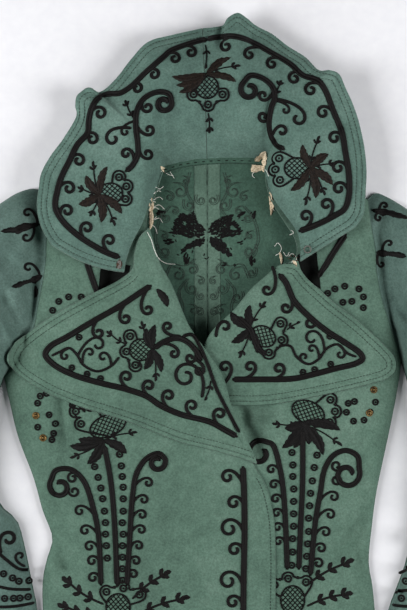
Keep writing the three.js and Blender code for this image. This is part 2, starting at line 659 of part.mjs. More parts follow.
const collarRight = addCollar("collar_right", RIGHT_COLLAR, 26, [frontRight, sleeveRight, reverRight]);
const collarLeft = addCollar("collar_left", LEFT_COLLAR, 30, [frontLeft, sleeveLeft, reverLeft]);

addBraid("collar_braid_right", RIGHT_COLLAR_BRAID, BORDER_BRAID, [collarRight]);
addBraid("collar_braid_left", LEFT_COLLAR_BRAID, BORDER_BRAID, [collarLeft]);
addBraid("collar_scroll_right", RIGHT_COLLAR_SCROLL, SCROLL_BRAID, [collarRight]);
addBraid("collar_scroll_left", LEFT_COLLAR_SCROLL, SCROLL_BRAID, [collarLeft]);
addBraid("rever_braid_right", RIGHT_REVER_BRAID, BORDER_BRAID, [reverRight]);
addBraid("rever_braid_left", LEFT_REVER_BRAID, BORDER_BRAID, [reverLeft]);
addBraid("rever_stem_right", RIGHT_REVER_STEM, SCROLL_BRAID, [reverRight]);
addBraid("rever_stem_left", LEFT_REVER_STEM, SCROLL_BRAID, [reverLeft]);
addBraid("edge_braid", EDGE_BRAID, BORDER_BRAID, [frontRight]);
addBraid("shoulder_braid_right", RIGHT_SHOULDER_BRAID, BORDER_BRAID, [frontRight]);
addBraid("shoulder_braid_left", LEFT_SHOULDER_BRAID, BORDER_BRAID, [frontLeft]);
for (const [name, rows] of Object.entries(RIGHT_FRONT_STEMS))
  addBraid("front_stem_right_" + name, rows, STEM_BRAID, [frontRight]);
for (const [name, rows] of Object.entries(LEFT_FRONT_STEMS))
  addBraid("front_stem_left_" + name, rows, STEM_BRAID, [frontLeft]);

// The neck fastening: a flat steel hook on one side of the notch and a wire eye on the other
function addHook(name, hook, panels) {
  const ground = over(panels, () => -Infinity);
  const geometry = new THREE.BoxGeometry(hook.width, hook.length, hook.height);
  geometry.translate(hook.x, hook.y, ground(hook.x, hook.y) + hook.height / 2 + SEAM);
  return add(name, geometry, STEEL);
}

function addEye(name, eye, panels) {
  const ground = over(panels, () => -Infinity);
  const geometry = new THREE.TorusGeometry(eye.radius, eye.wire, 6, 16);
  geometry.translate(eye.x, eye.y, ground(eye.x, eye.y) + eye.wire + SEAM);
  return add(name, geometry, STEEL);
}

addHook("neck_hook", HOOK, [collarRight, reverRight]);
addEye("neck_eye", EYE, [collarLeft, reverLeft]);

// The part's origin is the middle of its box, on the table
jacket.updateMatrixWorld(true);
const middle = new THREE.Box3().setFromObject(jacket).getCenter(new THREE.Vector3());
jacket.position.set(-middle.x, -middle.y, 0);

export default jacket;
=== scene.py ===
# %% [markdown]
# # A wool basque jacket laid flat
#
# The jacket is cut from green wool cloth and trimmed with black soutache, a narrow plaited braid.
# It lies on its back, empty, with the collar spread upward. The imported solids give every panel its
# place. This script makes each panel again as a thin shell on the same outline, with finer folds,
# and then couches the braid on it.

# %% The frame
import json
import math
import bpy
import numpy as np
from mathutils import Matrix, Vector
from mathutils.bvhtree import BVHTree

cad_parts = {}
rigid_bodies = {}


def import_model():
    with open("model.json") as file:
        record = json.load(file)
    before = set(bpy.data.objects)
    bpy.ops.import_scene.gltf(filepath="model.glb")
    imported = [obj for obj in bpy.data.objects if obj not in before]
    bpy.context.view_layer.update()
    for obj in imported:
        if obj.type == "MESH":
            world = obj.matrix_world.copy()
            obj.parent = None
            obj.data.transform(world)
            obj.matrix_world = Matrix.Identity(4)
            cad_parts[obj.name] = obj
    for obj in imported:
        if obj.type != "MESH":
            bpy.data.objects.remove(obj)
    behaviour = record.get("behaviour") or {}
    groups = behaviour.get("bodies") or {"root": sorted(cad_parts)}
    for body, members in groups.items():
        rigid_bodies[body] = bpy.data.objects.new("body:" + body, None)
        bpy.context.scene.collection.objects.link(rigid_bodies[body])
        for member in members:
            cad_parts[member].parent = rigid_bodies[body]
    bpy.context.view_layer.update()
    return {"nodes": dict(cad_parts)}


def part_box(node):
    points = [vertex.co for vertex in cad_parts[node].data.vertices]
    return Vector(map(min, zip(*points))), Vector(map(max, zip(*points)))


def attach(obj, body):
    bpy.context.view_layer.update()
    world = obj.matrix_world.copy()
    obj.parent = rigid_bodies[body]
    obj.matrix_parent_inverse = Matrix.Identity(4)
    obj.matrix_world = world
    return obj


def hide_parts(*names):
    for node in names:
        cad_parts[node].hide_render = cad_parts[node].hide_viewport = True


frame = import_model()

print("solids:", len(frame["nodes"]))

# %% [markdown]
# The tables are in millimetres, measured from the middle of the chest. +X is toward the wearer's
# left, which is on the right of the picture, and +Y toward the collar. The hook at the neck is a
# solid whose place is known in both frames, so it gives the shift between them.

# %% Units and the shift to the frame
MM = 0.001
HOOK_PLACE = (-94, 45)
low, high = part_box("neck_hook")
SHIFT = np.array([(low.x + high.x) / 2 / MM - HOOK_PLACE[0], (low.y + high.y) / 2 / MM - HOOK_PLACE[1], 0])
print("shift in mm:", SHIFT.round(2))

# %% [markdown]
# Most shapes below are worked out with four small functions: a straight blend, an eased step, a smooth
# bump, and a slow random swell. The swell adds a few long waves in random directions, which looks more
# like handled cloth than noise with a grain would.

# %% Small helpers for numbers
SWELL_WAVES = 7


def table(names, rows):
    """Named columns from rows of numbers."""
    columns = np.array(rows, float).T
    return dict(zip(names.split(), columns))


def mix(a, b, share):
    """A straight blend from a to b."""
    return a + (b - a) * share


def ease(value, start, end):
    """A step from 0 to 1 that starts and ends gently."""
    share = np.clip((value - start) / (end - start), 0, 1)
    return share * share * (3 - 2 * share)


def hump(value, middle, reach):
    """A smooth rise and fall round a middle, used for creases and ridges."""
    return np.exp(-(((value - middle) / reach) ** 2))


def wander(x, y, pitch, seed):
    """Uneven swell between about -1 and 1, as in cloth that has been worn and laid by hand."""
    draw = np.random.default_rng(seed)
    total = np.zeros(np.broadcast(x, y).shape)
    for _ in range(SWELL_WAVES):
        angle, phase, size = draw.uniform(0, math.pi), draw.uniform(0, 2 * math.pi), draw.uniform(0.7, 1.5)
        total += np.sin((x * math.cos(angle) + y * math.sin(angle)) * 2 * math.pi / (pitch * size) + phase)
    return total / (SWELL_WAVES / 2)


# %% [markdown]
# A pattern cutter draws each edge as one smooth line through a few measured points. A centripetal
# Catmull-Rom curve does the same: it passes through every point and doesn't loop where two are close.

# %% Smooth lines in plan
POINTS_PER_SPAN = 24


def plan(rows):
    """Plan points as an array, one row to a point."""
    return np.asarray(rows, float)


def run_along(points):
    """How far along a line each of its points lies."""
    return np.r_[0, np.cumsum(np.linalg.norm(np.diff(points, axis=0), axis=1))]


def read_at(points, run, where):
    """Plan points at given distances along a line."""
    return np.column_stack([np.interp(where, run, points[:, k]) for k in (0, 1)])


def curve(rows):
    """A smooth plan line through the rows, read at shares of its length."""
    points = plan(rows)
    ends = np.vstack([2 * points[0] - points[1], points, 2 * points[-1] - points[-2]])
    gaps = np.sqrt(np.linalg.norm(np.diff(ends, axis=0), axis=1))
    share = np.linspace(0, 1, POINTS_PER_SPAN, endpoint=False)[:, None]
    dense = []
    for i in range(1, len(ends) - 2):
        before, start, end, after = ends[i - 1:i + 3]
        g0, g1, g2 = gaps[i - 1:i + 2]
        leave = ((start - before) / g0 - (end - before) / (g0 + g1) + (end - start) / g1) * g1
        arrive = ((end - start) / g1 - (after - start) / (g1 + g2) + (after - end) / g2) * g1
        square = 3 * (end - start) - 2 * leave - arrive
        cube = 2 * (start - end) + leave + arrive
        dense.append(start + share * leave + share**2 * square + share**3 * cube)
    dense = np.vstack([*dense, points[-1:]])
    run = run_along(dense)

    def at(where):
        return read_at(dense, run, np.clip(np.atleast_1d(where), 0, 1) * run[-1])

    at.length = run[-1]
    return at


def line(start, end):
    """A straight line, read at shares of its length."""
    start, end = np.ravel(start), np.ravel(end)
    return lambda share: start + (end - start) * np.atleast_1d(share)[:, None]


def leftward(run):
    """Unit vectors to the left of each step of a run."""
    run = run / np.linalg.norm(run, axis=1)[:, None]
    return np.column_stack([-run[:, 1], run[:, 0]])


def beside(rows, distance, steps):
    """Points of a line moved sideways, positive to the left of its run."""
    path, share = curve(rows), np.linspace(0, 1, steps + 1)
    return path(share) + distance * leftward(path(share + 0.01) - path(share - 0.01))


# %% [markdown]
# The outlines are the pattern pieces as they lie, measured on the photograph at 1.12 mm to a pixel. Below
# the waist and down the lower sleeves the photograph ends, so those points follow period basques. Each
# table is a short list that a pattern cutter could have written down.

# %% Outlines of the body, the revers and the neck
RIGHT_ARMHOLE = [
    (-170, 103), (-176, 74), (-177, 52), (-179, 33), (-185, 2), (-191, -28), (-206, -58), (-225, -81)]
RIGHT_SIDE = [
    (-225, -81), (-218, -111), (-209, -148), (-191, -196), (-181, -232), (-170, -264), (-176, -286),
    (-181, -312), (-179, -386), (-179, -470)]
LEFT_ARMHOLE = [
    (185, 119), (188, 93), (193, 60), (194, 38), (199, 11), (206, -12), (214, -37), (223, -64)]
LEFT_SIDE = [
    (223, -64), (220, -86), (211, -134), (202, -176), (194, -215), (190, -246), (186, -292), (190, -316),
    (194, -364), (195, -476)]
RIGHT_NECK = [(-46, 151), (-54, 124), (-62, 106), (-65, 86)]
LEFT_NECK = [(71, 160), (70, 140), (76, 118), (92, 92), (103, 73), (104, 55)]
RIGHT_ROLL = [
    (-60, 86), (-55, 67), (-49, 48), (-36, 24), (-14, -27), (2, -49), (22, -80), (32, -115), (50, -153),
    (57, -168)]
LEFT_ROLL = [(82, 44), (70, 33), (53, 18), (36, -3), (8, -31), (-2, -50)]
RIGHT_CLOSING = [(57, -181), (69, -201), (77, -231), (80, -261), (80, -342), (77, -480)]
LEFT_UNDERLAP = [
    (-2, -72), (10, -106), (25, -151), (36, -196), (41, -231), (41, -342), (38, -482)]
BACK_NECK = [(-45, 153), (-26, 159), (4, 163), (36, 164), (70, 162)]
CENTRE_BACK = [(4, 163), (5, -160), (6, -486)]
RIGHT_REVER_TOP = [
    (-60, 86), (-71, 76), (-77, 57), (-79, 40), (-93, 29), (-123, 13), (-168, -12), (-192, -28), (-209, -42)]
RIGHT_REVER_OUTER = [
    (-209, -42), (-217, -58), (-213, -72), (-179, -96), (-144, -111), (-78, -132), (-25, -153), (12, -162),
    (47, -172), (59, -177)]
LEFT_REVER_TOP = [
    (82, 44), (90, 46), (104, 44), (116, 29), (129, 17), (147, 1), (171, -17), (202, -45)]
LEFT_REVER_OUTER = [
    (202, -45), (214, -59), (215, -73), (206, -82), (186, -88), (124, -102), (70, -111), (14, -111)]
CROWN = table("level height", [
    (-490, 9), (-380, 11), (-275, 13), (-200, 18), (-120, 23), (-40, 22), (40, 19), (110, 16), (170, 14)])

# %% [markdown]
# The collar is described by stations from its notch to the centre back. Each row says where the inner
# edge is, where and how high the stand turns over, and where the outer edge lies. One table of heights
# would not do, because the collar stands near the neck and lies flat at its edge.

# %% Outlines of the collar and the sleeves
COLLAR_COLUMNS = "inX inY inZ ridgeAt ridgeZ outX outY outZ bow"
RIGHT_COLLAR = table(COLLAR_COLUMNS, [
    (-89, 37, 27, 0.1, 28, -169, 67, 31, 6), (-86, 52, 27, 0.1, 29, -180, 86, 32, 3),
    (-80, 69, 27, 0.1, 31, -185, 108, 34, 0), (-68, 92, 27, 0.1, 32, -183, 130, 35, 0),
    (-62, 109, 25, 0.1, 34, -180, 147, 35, 0), (-56, 123, 20, 0.13, 37, -170, 166, 33, 0),
    (-51, 136, 14, 0.18, 40, -155, 187, 31, 0), (-47, 148, 9, 0.25, 43, -142, 210, 29, 0),
    (-45, 155, 6, 0.3, 44, -143, 222, 31, 0), (-42, 157, 5, 0.33, 45, -140, 234, 36, 0),
    (-38, 158, 5, 0.36, 46, -127, 242, 36, 0), (-33, 159, 5, 0.39, 47, -115, 238, 29, 0),
    (-26, 161, 5, 0.42, 48, -98, 253, 25, 0), (-19, 162, 5, 0.45, 49, -81, 275, 23, 0),
    (-11, 164, 5, 0.48, 50, -62, 294, 26, 0), (-4, 164.5, 5, 0.5, 50, -35, 302, 24, 0),
    (3.5, 165, 5, 0.51, 50, -1.5, 310, 20, 0)])
LEFT_COLLAR = table(COLLAR_COLUMNS, [
    (108, 49, 27, 0.1, 29, 169, 87, 32, 0), (108, 66, 27, 0.1, 30, 178, 102, 33, 0),
    (104, 82, 27, 0.1, 31, 180, 125, 34, 0), (93, 98, 27, 0.1, 33, 181, 150, 34, 0),
    (82, 113, 25, 0.1, 35, 179, 174, 33, 0), (75, 126, 20, 0.13, 37, 174, 199, 32, 0),
    (71, 138, 15, 0.18, 40, 167, 222, 31, 0), (69, 150, 10, 0.24, 43, 158, 242, 33, 0),
    (70, 160, 6, 0.29, 44, 151, 256, 38, 0), (69.5, 165, 5, 0.33, 45, 140, 261, 40, 0),
    (65, 165.5, 5, 0.37, 46, 128, 262, 33, 0), (58, 165.5, 5, 0.41, 47, 114, 277, 27, 0),
    (50, 166, 5, 0.44, 48, 95, 289, 24, 0), (42, 166, 5, 0.47, 49, 77, 303, 23, 0),
    (35, 166, 5, 0.49, 50, 59, 312, 26, 0), (29, 166, 5, 0.5, 50, 48, 320, 32, 0),
    (24, 166, 5, 0.5, 50, 38, 325, 36, 0), (18, 165.7, 5, 0.5, 50, 27, 320, 32, 0),
    (12, 165.3, 5, 0.51, 50, 20, 312, 25, 0), (4.5, 165, 5, 0.51, 50, -0.5, 310, 20, 0)])
RIGHT_SLEEVE_INNER = [
    (-225, -81), (-232, -102), (-239, -134), (-242, -168), (-237, -205), (-228, -227), (-211, -243),
    (-203, -268), (-194, -312), (-188, -342), (-185, -386), (-189, -465), (-197, -515)]
RIGHT_SLEEVE_OUTER = [
    (-170, 103), (-178, 124), (-190, 131), (-208, 127), (-228, 115), (-273, 82), (-315, 28), (-338, -39),
    (-344, -106), (-338, -174), (-322, -241), (-304, -308), (-286, -375), (-273, -442), (-266, -515)]
LEFT_SLEEVE_INNER = [
    (223, -64), (231, -90), (240, -130), (244, -174), (240, -213), (236, -252), (228, -291), (216, -324),
    (208, -346), (204, -392), (207, -470), (213, -521)]
LEFT_SLEEVE_OUTER = [
    (185, 119), (194, 126), (206, 122), (228, 109), (273, 76), (315, 22), (338, -45), (344, -112),
    (338, -179), (322, -246), (304, -314), (286, -381), (273, -448), (266, -521)]
PUFF = table("level height", [
    (0, 15), (0.06, 26), (0.14, 38), (0.26, 44), (0.4, 42), (0.52, 32), (0.64, 20), (0.78, 14), (1, 12)])
print("armhole lengths in mm:", round(curve(RIGHT_ARMHOLE).length), round(curve(LEFT_ARMHOLE).length))

# %% [markdown]
# Cloth never lies closer than its own thickness. These few lengths say how thick each layer is, how far
# one lies above the next, and how large the soft roll of a rever is. Every later height is a sum of them,
# so the layers can't cut through one another.

# %% Cloth thickness and how the layers lie, in millimetres
BACK_CLOTH, FRONT_CLOTH, SLEEVE_CLOTH = 1.5, 2.0, 1.6
SEAM = 0.3   # air between two layers at a seam
ROLL_RADIUS, ROLL_CLEAR = 3.0, 2.2   # the rever's fold, and the front's distance from it
LIE = BACK_CLOTH + SEAM   # underside of a front on its back
ARMHOLE_LIFT, SHOULDER_ROUND = 13, 55   # the armhole stands open; the shoulder rounds off
OVERLAP_LIFT = FRONT_CLOTH + 2 * SEAM   # the right front over the left one
REVER_LIFT = 2 * ROLL_RADIUS - FRONT_CLOTH + 3 * SEAM  # and over the left rever's roll
REVER_SPRING, REVER_SETTLE = 2 * ROLL_RADIUS - FRONT_CLOTH, 35   # a rever springs up, then settles
LAID_GAP = 0.8   # air under a collar or rever that rests on cloth
ARMHOLE_SHARE = 0.36   # how much of the body's outer edge is armhole
CELL = 3.6   # side of one cell of a body grid
print("a front rests at", LIE, "mm and the overlap at", LIE + FRONT_CLOTH + OVERLAP_LIFT, "mm")

# %% [markdown]
# The body is an empty tube pressed almost flat, so its cross-section is steep at both folded sides
# and level between them. The right front closes over the left one and rides up on the rever below.

# %% Height of the two fronts
OVERLAP_SLOPE = 42, 8   # mm inside the underlap's edge where the right front starts and stops rising
ROLL_SLOPE = -160, -122   # levels between which the left rever's roll lifts it too


def height_at(rows, level):
    """Height from a table of levels, half straight and half eased between its rows."""
    levels, heights = rows["level"], rows["height"]
    row = np.clip(np.searchsorted(levels, level) - 1, 0, len(levels) - 2)
    share = np.clip((level - levels[row]) / (levels[row + 1] - levels[row]), 0, 1)
    return mix(heights[row], heights[row + 1], mix(share, ease(share, 0, 1), 0.5))


def edge_reader(*edges):
    """Where an edge lies across the body, read by level."""
    points = np.vstack([curve(rows)(np.linspace(0, 1, 81)) for rows in edges])
    return lambda level: np.interp(-np.asarray(level, float), -points[:, 1], points[:, 0])


right_edge = edge_reader(RIGHT_ARMHOLE, RIGHT_SIDE)
left_edge = edge_reader(LEFT_ARMHOLE, LEFT_SIDE)
underlap_edge = edge_reader(LEFT_ROLL, LEFT_UNDERLAP)


def dome(across):
    """The section of an empty tube pressed almost flat."""
    return np.sqrt(np.maximum(0, 1 - np.abs(2 * across - 1) ** 4))


def armhole_open(armhole, level):
    """How far the empty armhole stands open at a level."""
    shoulder, underarm = armhole[0][1], armhole[-1][1]
    share = np.clip((level - underarm) / (shoulder - underarm), 0, 1)
    return ARMHOLE_LIFT * np.sin(math.pi * share) ** 0.7


def shoulder_fall(x, y):
    """How the fronts round off toward the shoulder seam."""
    def seam(armhole, neck):
        (neck_x, neck_y), (arm_x, arm_y) = neck[0], armhole[0]
        return mix(neck_y, arm_y, (x - neck_x) / (arm_x - neck_x))
    level = np.where(x < 0, seam(RIGHT_ARMHOLE, RIGHT_NECK), seam(LEFT_ARMHOLE, LEFT_NECK))
    below = np.clip((level - y) / SHOULDER_ROUND, 0, 1)
    return np.sqrt(np.maximum(0, 1 - (1 - below) ** 4))


def left_front_top(x, y):
    """Height of the left front's outer face."""
    right, left = right_edge(y), left_edge(y)
    across = np.clip((x - right) / (left - right), 0, 1)
    opening = mix(armhole_open(RIGHT_ARMHOLE, y), armhole_open(LEFT_ARMHOLE, y), across)
    rise = opening + (height_at(CROWN, y) - opening) * dome(across)
    return LIE + FRONT_CLOTH + shoulder_fall(x, y) * rise


def right_front_top(x, y):
    """The same for the right front, which rides over the left one."""
    start, stop = OVERLAP_SLOPE
    reached = ease(x, underlap_edge(y) - start, underlap_edge(y) - stop)
    return left_front_top(x, y) + reached * (OVERLAP_LIFT + REVER_LIFT * ease(y, *ROLL_SLOPE))


print("height over the chest in mm:", round(float(left_front_top(np.array(0.0), np.array(-100.0))), 1))

# %% [markdown]
# Every panel is a grid of points between four edges. A grid keeps its rows along the cloth, so folds,
# stitches and braid can be placed by row and column. Each one is closed into a thin shell with a
# rounded edge, because cut and turned cloth shows its thickness all round.

# %% Grids between four edges
def patch(top, bottom, left, right, down, across):
    """A Coons patch: a grid that meets four edges."""
    u, v = across[None, :, None], down[:, None, None]
    grid = (1 - v) * top(across)[None] + v * bottom(across)[None]
    grid = grid + (1 - u) * left(down)[:, None] + u * right(down)[:, None]
    corners = [edge(end) for edge in (top, bottom) for end in (0, 1)]
    weights = [(1 - u) * (1 - v), u * (1 - v), (1 - u) * v, u * v]
    for corner, weight in zip(corners, weights):
        grid = grid - weight * corner[0]
    return grid


def steps(length, cell=CELL, edge=0.7):
    """Even shares along a length, with one close step at each end to round the cloth's edge."""
    even = np.linspace(0, 1, max(3, round(length / cell)) + 1)
    tight = edge / length
    return np.r_[0, tight, even[1:-1], 1 - tight, 1]


def steps_to_edge(length, cell, hem, start=False, end=False):
    """Even shares with millimetre steps inside the stitched hem at either end."""
    even = steps(length, cell)
    share = hem / length
    fine = np.linspace(0, share, round(hem) + 1)
    if start:
        even = np.r_[fine, even[even > share + 0.3 * cell / length]]
    if end:
        even = np.r_[even[even < 1 - share - 0.3 * cell / length], (1 - fine)[::-1]]
    return even


print("rows down a 240 mm edge:", len(steps(240)), "or, hemmed,", len(steps_to_edge(240, 3, 15, True)))

# %% [markdown]
# A solidify modifier would give each panel its thickness, but it can't stop at the table or at the layer
# below. The shell is built directly instead: the grid, a second one under it that stays above its
# rest, and a ring between them that rounds the cut edge.

# %% Closed shells
def grid_normals(points):
    """Unit normals at the points of a grid, turned upward at its middle."""
    rising = points[1:, 1:] - points[:-1, :-1]
    falling = points[1:, :-1] - points[:-1, 1:]
    cells = np.cross(rising, falling)
    total = np.zeros_like(points)
    for di, dj in ((0, 0), (0, 1), (1, 0), (1, 1)):
        total[di:di + cells.shape[0], dj:dj + cells.shape[1]] += cells
    total *= np.sign(total[total.shape[0] // 2, total.shape[1] // 2, 2])
    return total / np.linalg.norm(total, axis=2)[..., None]


def grid_faces(rows, columns, start=0):
    """The four-sided faces of a grid, from its row-by-row numbering."""
    corner = (np.arange(rows - 1)[:, None] * columns + np.arange(columns - 1)[None]).ravel() + start
    return np.column_stack([corner, corner + columns, corner + columns + 1, corner + 1])


def rim_of(rows, columns):
    """The numbers of a grid's outer points, in order round it."""
    ids = np.arange(rows * columns).reshape(rows, columns)
    return np.r_[ids[0], ids[1:, -1], ids[-1, -2::-1], ids[-2:0:-1, 0]]


def shell(points, thickness, rest):
    """A closed shell under a grid of outer points, with a rounded edge, no lower than its rest."""
    normals = grid_normals(points)
    under = points - normals * thickness
    under[..., 2] = np.maximum(under[..., 2], rest)
    rows, columns = points.shape[:2]
    count = rows * columns
    rim = rim_of(rows, columns)
    outer, inner = points.reshape(-1, 3), under.reshape(-1, 3)
    inward = np.roll(outer[rim], -1, axis=0) - np.roll(outer[rim], 1, axis=0)
    out = np.cross(inward, normals.reshape(-1, 3)[rim])
    out /= np.linalg.norm(out, axis=1)[:, None] + 1e-9
    centre = points[rows // 2, columns // 2]
    toward = np.sign(np.sum(out * (outer[rim] - centre), axis=1).sum())
    middle = (outer[rim] + inner[rim]) / 2 + out * toward * thickness * 0.35
    middle[:, 2] = np.maximum(middle[:, 2], rest)
    ring = 2 * count + np.arange(len(rim))
    after, next_ring = np.roll(rim, -1), np.roll(ring, -1)
    top = grid_faces(rows, columns)
    faces = [top, grid_faces(rows, columns, count)[:, ::-1],
             np.column_stack([after, rim, ring, next_ring]),
             np.column_stack([next_ring, ring, rim + count, after + count])]
    return np.vstack([outer, inner, middle]), np.vstack(faces)


def enclosed(points, faces):
    """Faces turned so that they enclose their volume."""
    a, b, c, d = (points[faces[:, k]] for k in range(4))
    volume = np.sum(a * np.cross(b, c)) + np.sum(a * np.cross(c, d))
    return faces if volume > 0 else faces[:, ::-1]


# %% [markdown]
# Each piece becomes one mesh object. It rides with the jacket, takes one material, and hides the solid
# that it stands for. The table above is in millimetres, so this is the one place where the shift and the
# change to metres are made.

# %% Pieces that ride with the jacket
def placed(name, data):
    """An object with its data, in the scene."""
    obj = bpy.data.objects.new(name, data)
    bpy.context.scene.collection.objects.link(obj)
    return obj


def piece(name, points, faces, material, replaces=()):
    """A mesh object that rides with the jacket and takes its finish from one slot."""
    mesh = bpy.data.meshes.new(name)
    mesh.from_pydata(((points + SHIFT) * MM).tolist(), [], [list(dict.fromkeys(f)) for f in faces.tolist()])
    mesh.validate()
    mesh.polygons.foreach_set("use_smooth", [True] * len(mesh.polygons))
    mesh.materials.append(material)
    obj = placed(name, mesh)
    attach(obj, "root")
    if replaces:
        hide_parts(*replaces)
    return obj


# %% [markdown]
# The collar and revers are bagged out: two layers are stitched, turned and pressed, and then stitched
# twice round near the edge. The rows press two fine grooves, and between them the cloth stands up.

# %% Turned and stitched edges
HEM = 15   # width of the finely divided edge
STITCH_ROWS = (4.2, 10.2)  # distance of each stitch row from the edge


def outline_of(grid, row=0):
    """The plan line of a turned edge: along the first or last row and then down the outer column."""
    first = grid[row, :, :2]
    column = grid[:, -1, :2] if row == 0 else grid[::-1, -1, :2]
    return np.vstack([first, column[1:]])


def resampled(route, step=2.0):
    """The same line with evenly spaced points."""
    run = run_along(route)
    at = np.linspace(0, run[-1], max(3, round(run[-1] / step) + 1))
    return read_at(route, run, at)


def inset(route, distance, inner_point, soften=4):
    """A line moved inward in plan and eased round its corners."""
    path = resampled(route)
    way = np.gradient(path, axis=0)
    way /= np.linalg.norm(way, axis=1)[:, None] + 1e-9
    side = np.column_stack([-way[:, 1], way[:, 0]])
    toward = np.sign(np.sum((np.array(inner_point) - path) * side, axis=1).sum())
    moved = path + side * toward * distance
    kernel = np.ones(2 * soften + 1) / (2 * soften + 1)
    padded = np.vstack([np.repeat(moved[:1], soften, 0), moved, np.repeat(moved[-1:], soften, 0)])
    return np.column_stack([np.convolve(padded[:, k], kernel, "valid") for k in (0, 1)])


def pressed(grid, edge):
    """Grooves under the stitch rows of a turned edge, with a soft ridge between them."""
    path = resampled(edge, 1.5)
    flat = grid[..., :2].reshape(-1, 2)
    nearest = np.full(len(flat), 1e9)
    for start in range(0, len(path), 60):
        gap = flat[:, None] - path[None, start:start + 60]
        nearest = np.minimum(nearest, np.sqrt((gap**2).sum(axis=2)).min(axis=1))
    d = nearest.reshape(grid.shape[:2])
    rise = 0.35 * hump(d, 7.2, 2.4) + 0.3 * hump(d, 2.2, 1.2)
    for row in STITCH_ROWS:
        rise = rise - 0.65 * hump(d, row, 1.1)
    result = grid.copy()
    result[..., 2] += rise
    return result


# %% [markdown]
# What lies on a panel has to follow it. A bounding volume tree of the panel's outer grid is asked,
# from straight above, how high the cloth is at any point of the plan.

# %% Reading the height of finished cloth
class Cloth:
    """The outer face of one or more panels, read from above."""

    def __init__(self, *grids):
        points, faces, count = [], [], 0
        for grid in grids:
            points.append(grid.reshape(-1, 3))
            faces.append(grid_faces(*grid.shape[:2], count))
            count += grid.shape[0] * grid.shape[1]
        points, faces = np.vstack(points), np.vstack(faces)
        self.tree = BVHTree.FromPolygons(points.tolist(), faces.tolist())

    def height(self, x, y, missing=-math.inf):
        """The cloth's height at each plan point."""
        flat = np.column_stack([np.ravel(x), np.ravel(y)])
        result = np.full(len(flat), missing)
        down = Vector((0, 0, -1))
        for i, (px, py) in enumerate(flat.tolist()):
            hit = self.tree.ray_cast(Vector((px, py, 300)), down)[0]
            if hit is not None:
                result[i] = hit.z
        return result.reshape(np.shape(x))

    def around(self, x, y, reach=5):
        """The highest cloth close round each point, so that cloth laid on it bridges the steps."""
        near = [(0, 0), (-reach, 0), (reach, 0), (0, -reach), (0, reach)]
        return np.max([self.height(x + dx, y + dy) for dx, dy in near], axis=0)


# %% [markdown]
# ## Materials
#
# Wool broadcloth is woven in a fine twill, milled until the surface felts over, and then brushed. The
# eye gets a soft matt green with a faint bloom where light grazes the nap, small flecks of lighter
# fibre, and slow changes of tone where the dye has faded. One node helper builds every material. A pixel
# of the photograph is 1.12 mm wide, too coarse to measure threads, so the sizes of twill, nap, plaits and
# stitches that the comments give as real or usual are estimates from such cloth in general.

# %% Colours and the node helper
def linear(hexcode):
    """sRGB hex to linear RGBA."""
    channels = [int(hexcode[i:i + 2], 16) / 255 for i in (1, 3, 5)]
    return tuple(c / 12.92 if c <= 0.04045 else ((c + 0.055) / 1.055) ** 2.4 for c in channels) + (1.0,)


def new_material(name):
    """An empty node material."""
    material = bpy.data.materials.new(name)
    material.use_nodes = True
    material.node_tree.nodes.clear()
    return material


def node(material, kind, settings=None, **inputs):
    """Adds one shader node, with its settings and its inputs as values or as sockets to link."""
    made = material.node_tree.nodes.new("ShaderNode" + kind)
    for key, value in (settings or {}).items():
        setattr(made, key, value)
    for key, value in inputs.items():
        socket = made.inputs[int(key[1:])] if key[0] == "_" else made.inputs[key.replace("_", " ")]
        if isinstance(value, bpy.types.NodeSocket):
            material.node_tree.links.new(value, socket)
        else:
            socket.default_value = value
    return made


def ramp(material, factor, *stops):
    """Colours spread over a factor, each at its stop."""
    made = node(material, "ValToRGB", _0=factor)
    elements = made.color_ramp.elements
    while len(elements) < len(stops):
        elements.new(0.5)
    for element, (position, colour) in zip(elements, stops):
        element.position, element.color = position, linear(colour)
    return made.outputs["Color"]


def place(material):
    """Where a point lies on the object, in metres, so that every pattern has its real size."""
    return node(material, "TexCoord").outputs["Object"]


def finish_material(material, shader):
    """Joins the shader to the material's output."""
    node(material, "OutputMaterial", Surface=shader.outputs[0])
    return material


def speckled(name, scale, detail, low, high, bump=None, **surface):
    """A plain finish: one fine noise between two tones, and a bump where the surface is rough."""
    material = new_material(name)
    spots = node(material, "TexNoise", Vector=place(material), Scale=scale, Detail=detail)
    tone = ramp(material, spots.outputs["Fac"], low, high)
    if bump:
        strength, depth = bump
        relief = node(material, "Bump", Strength=strength, Distance=depth * MM,
                      Height=spots.outputs["Fac"])
        surface["Normal"] = relief.outputs[0]
    return finish_material(material, node(material, "BsdfPrincipled", Base_Color=tone, **surface))


print("mid grey #808080 is", round(linear("#808080")[0], 3), "in linear light")

# %% [markdown]
# The broadcloth could be one flat green, but worn wool isn't even. Two noises, one as long as a hand and one
# a finger wide, move its tone between faded and deep. A fine noise gives the flecks of lint, and a twill
# wave and a nap of about 0.7 mm rough the surface. The noise scales are waves per metre.

# %% Milled wool broadcloth
TWILL_PITCH = 1.3 * MM   # twill lines are usually about 0.6 mm apart, drawn coarser so that they show
FADING, PATCHES = 9.0, 55.0    # 110 mm and 18 mm across: sun and handling fade cloth in areas of that size
LINT, NAP = 430.0, 1500.0   # 2.3 mm and 0.7 mm: tufts of lint, and nap at about twice its usual size


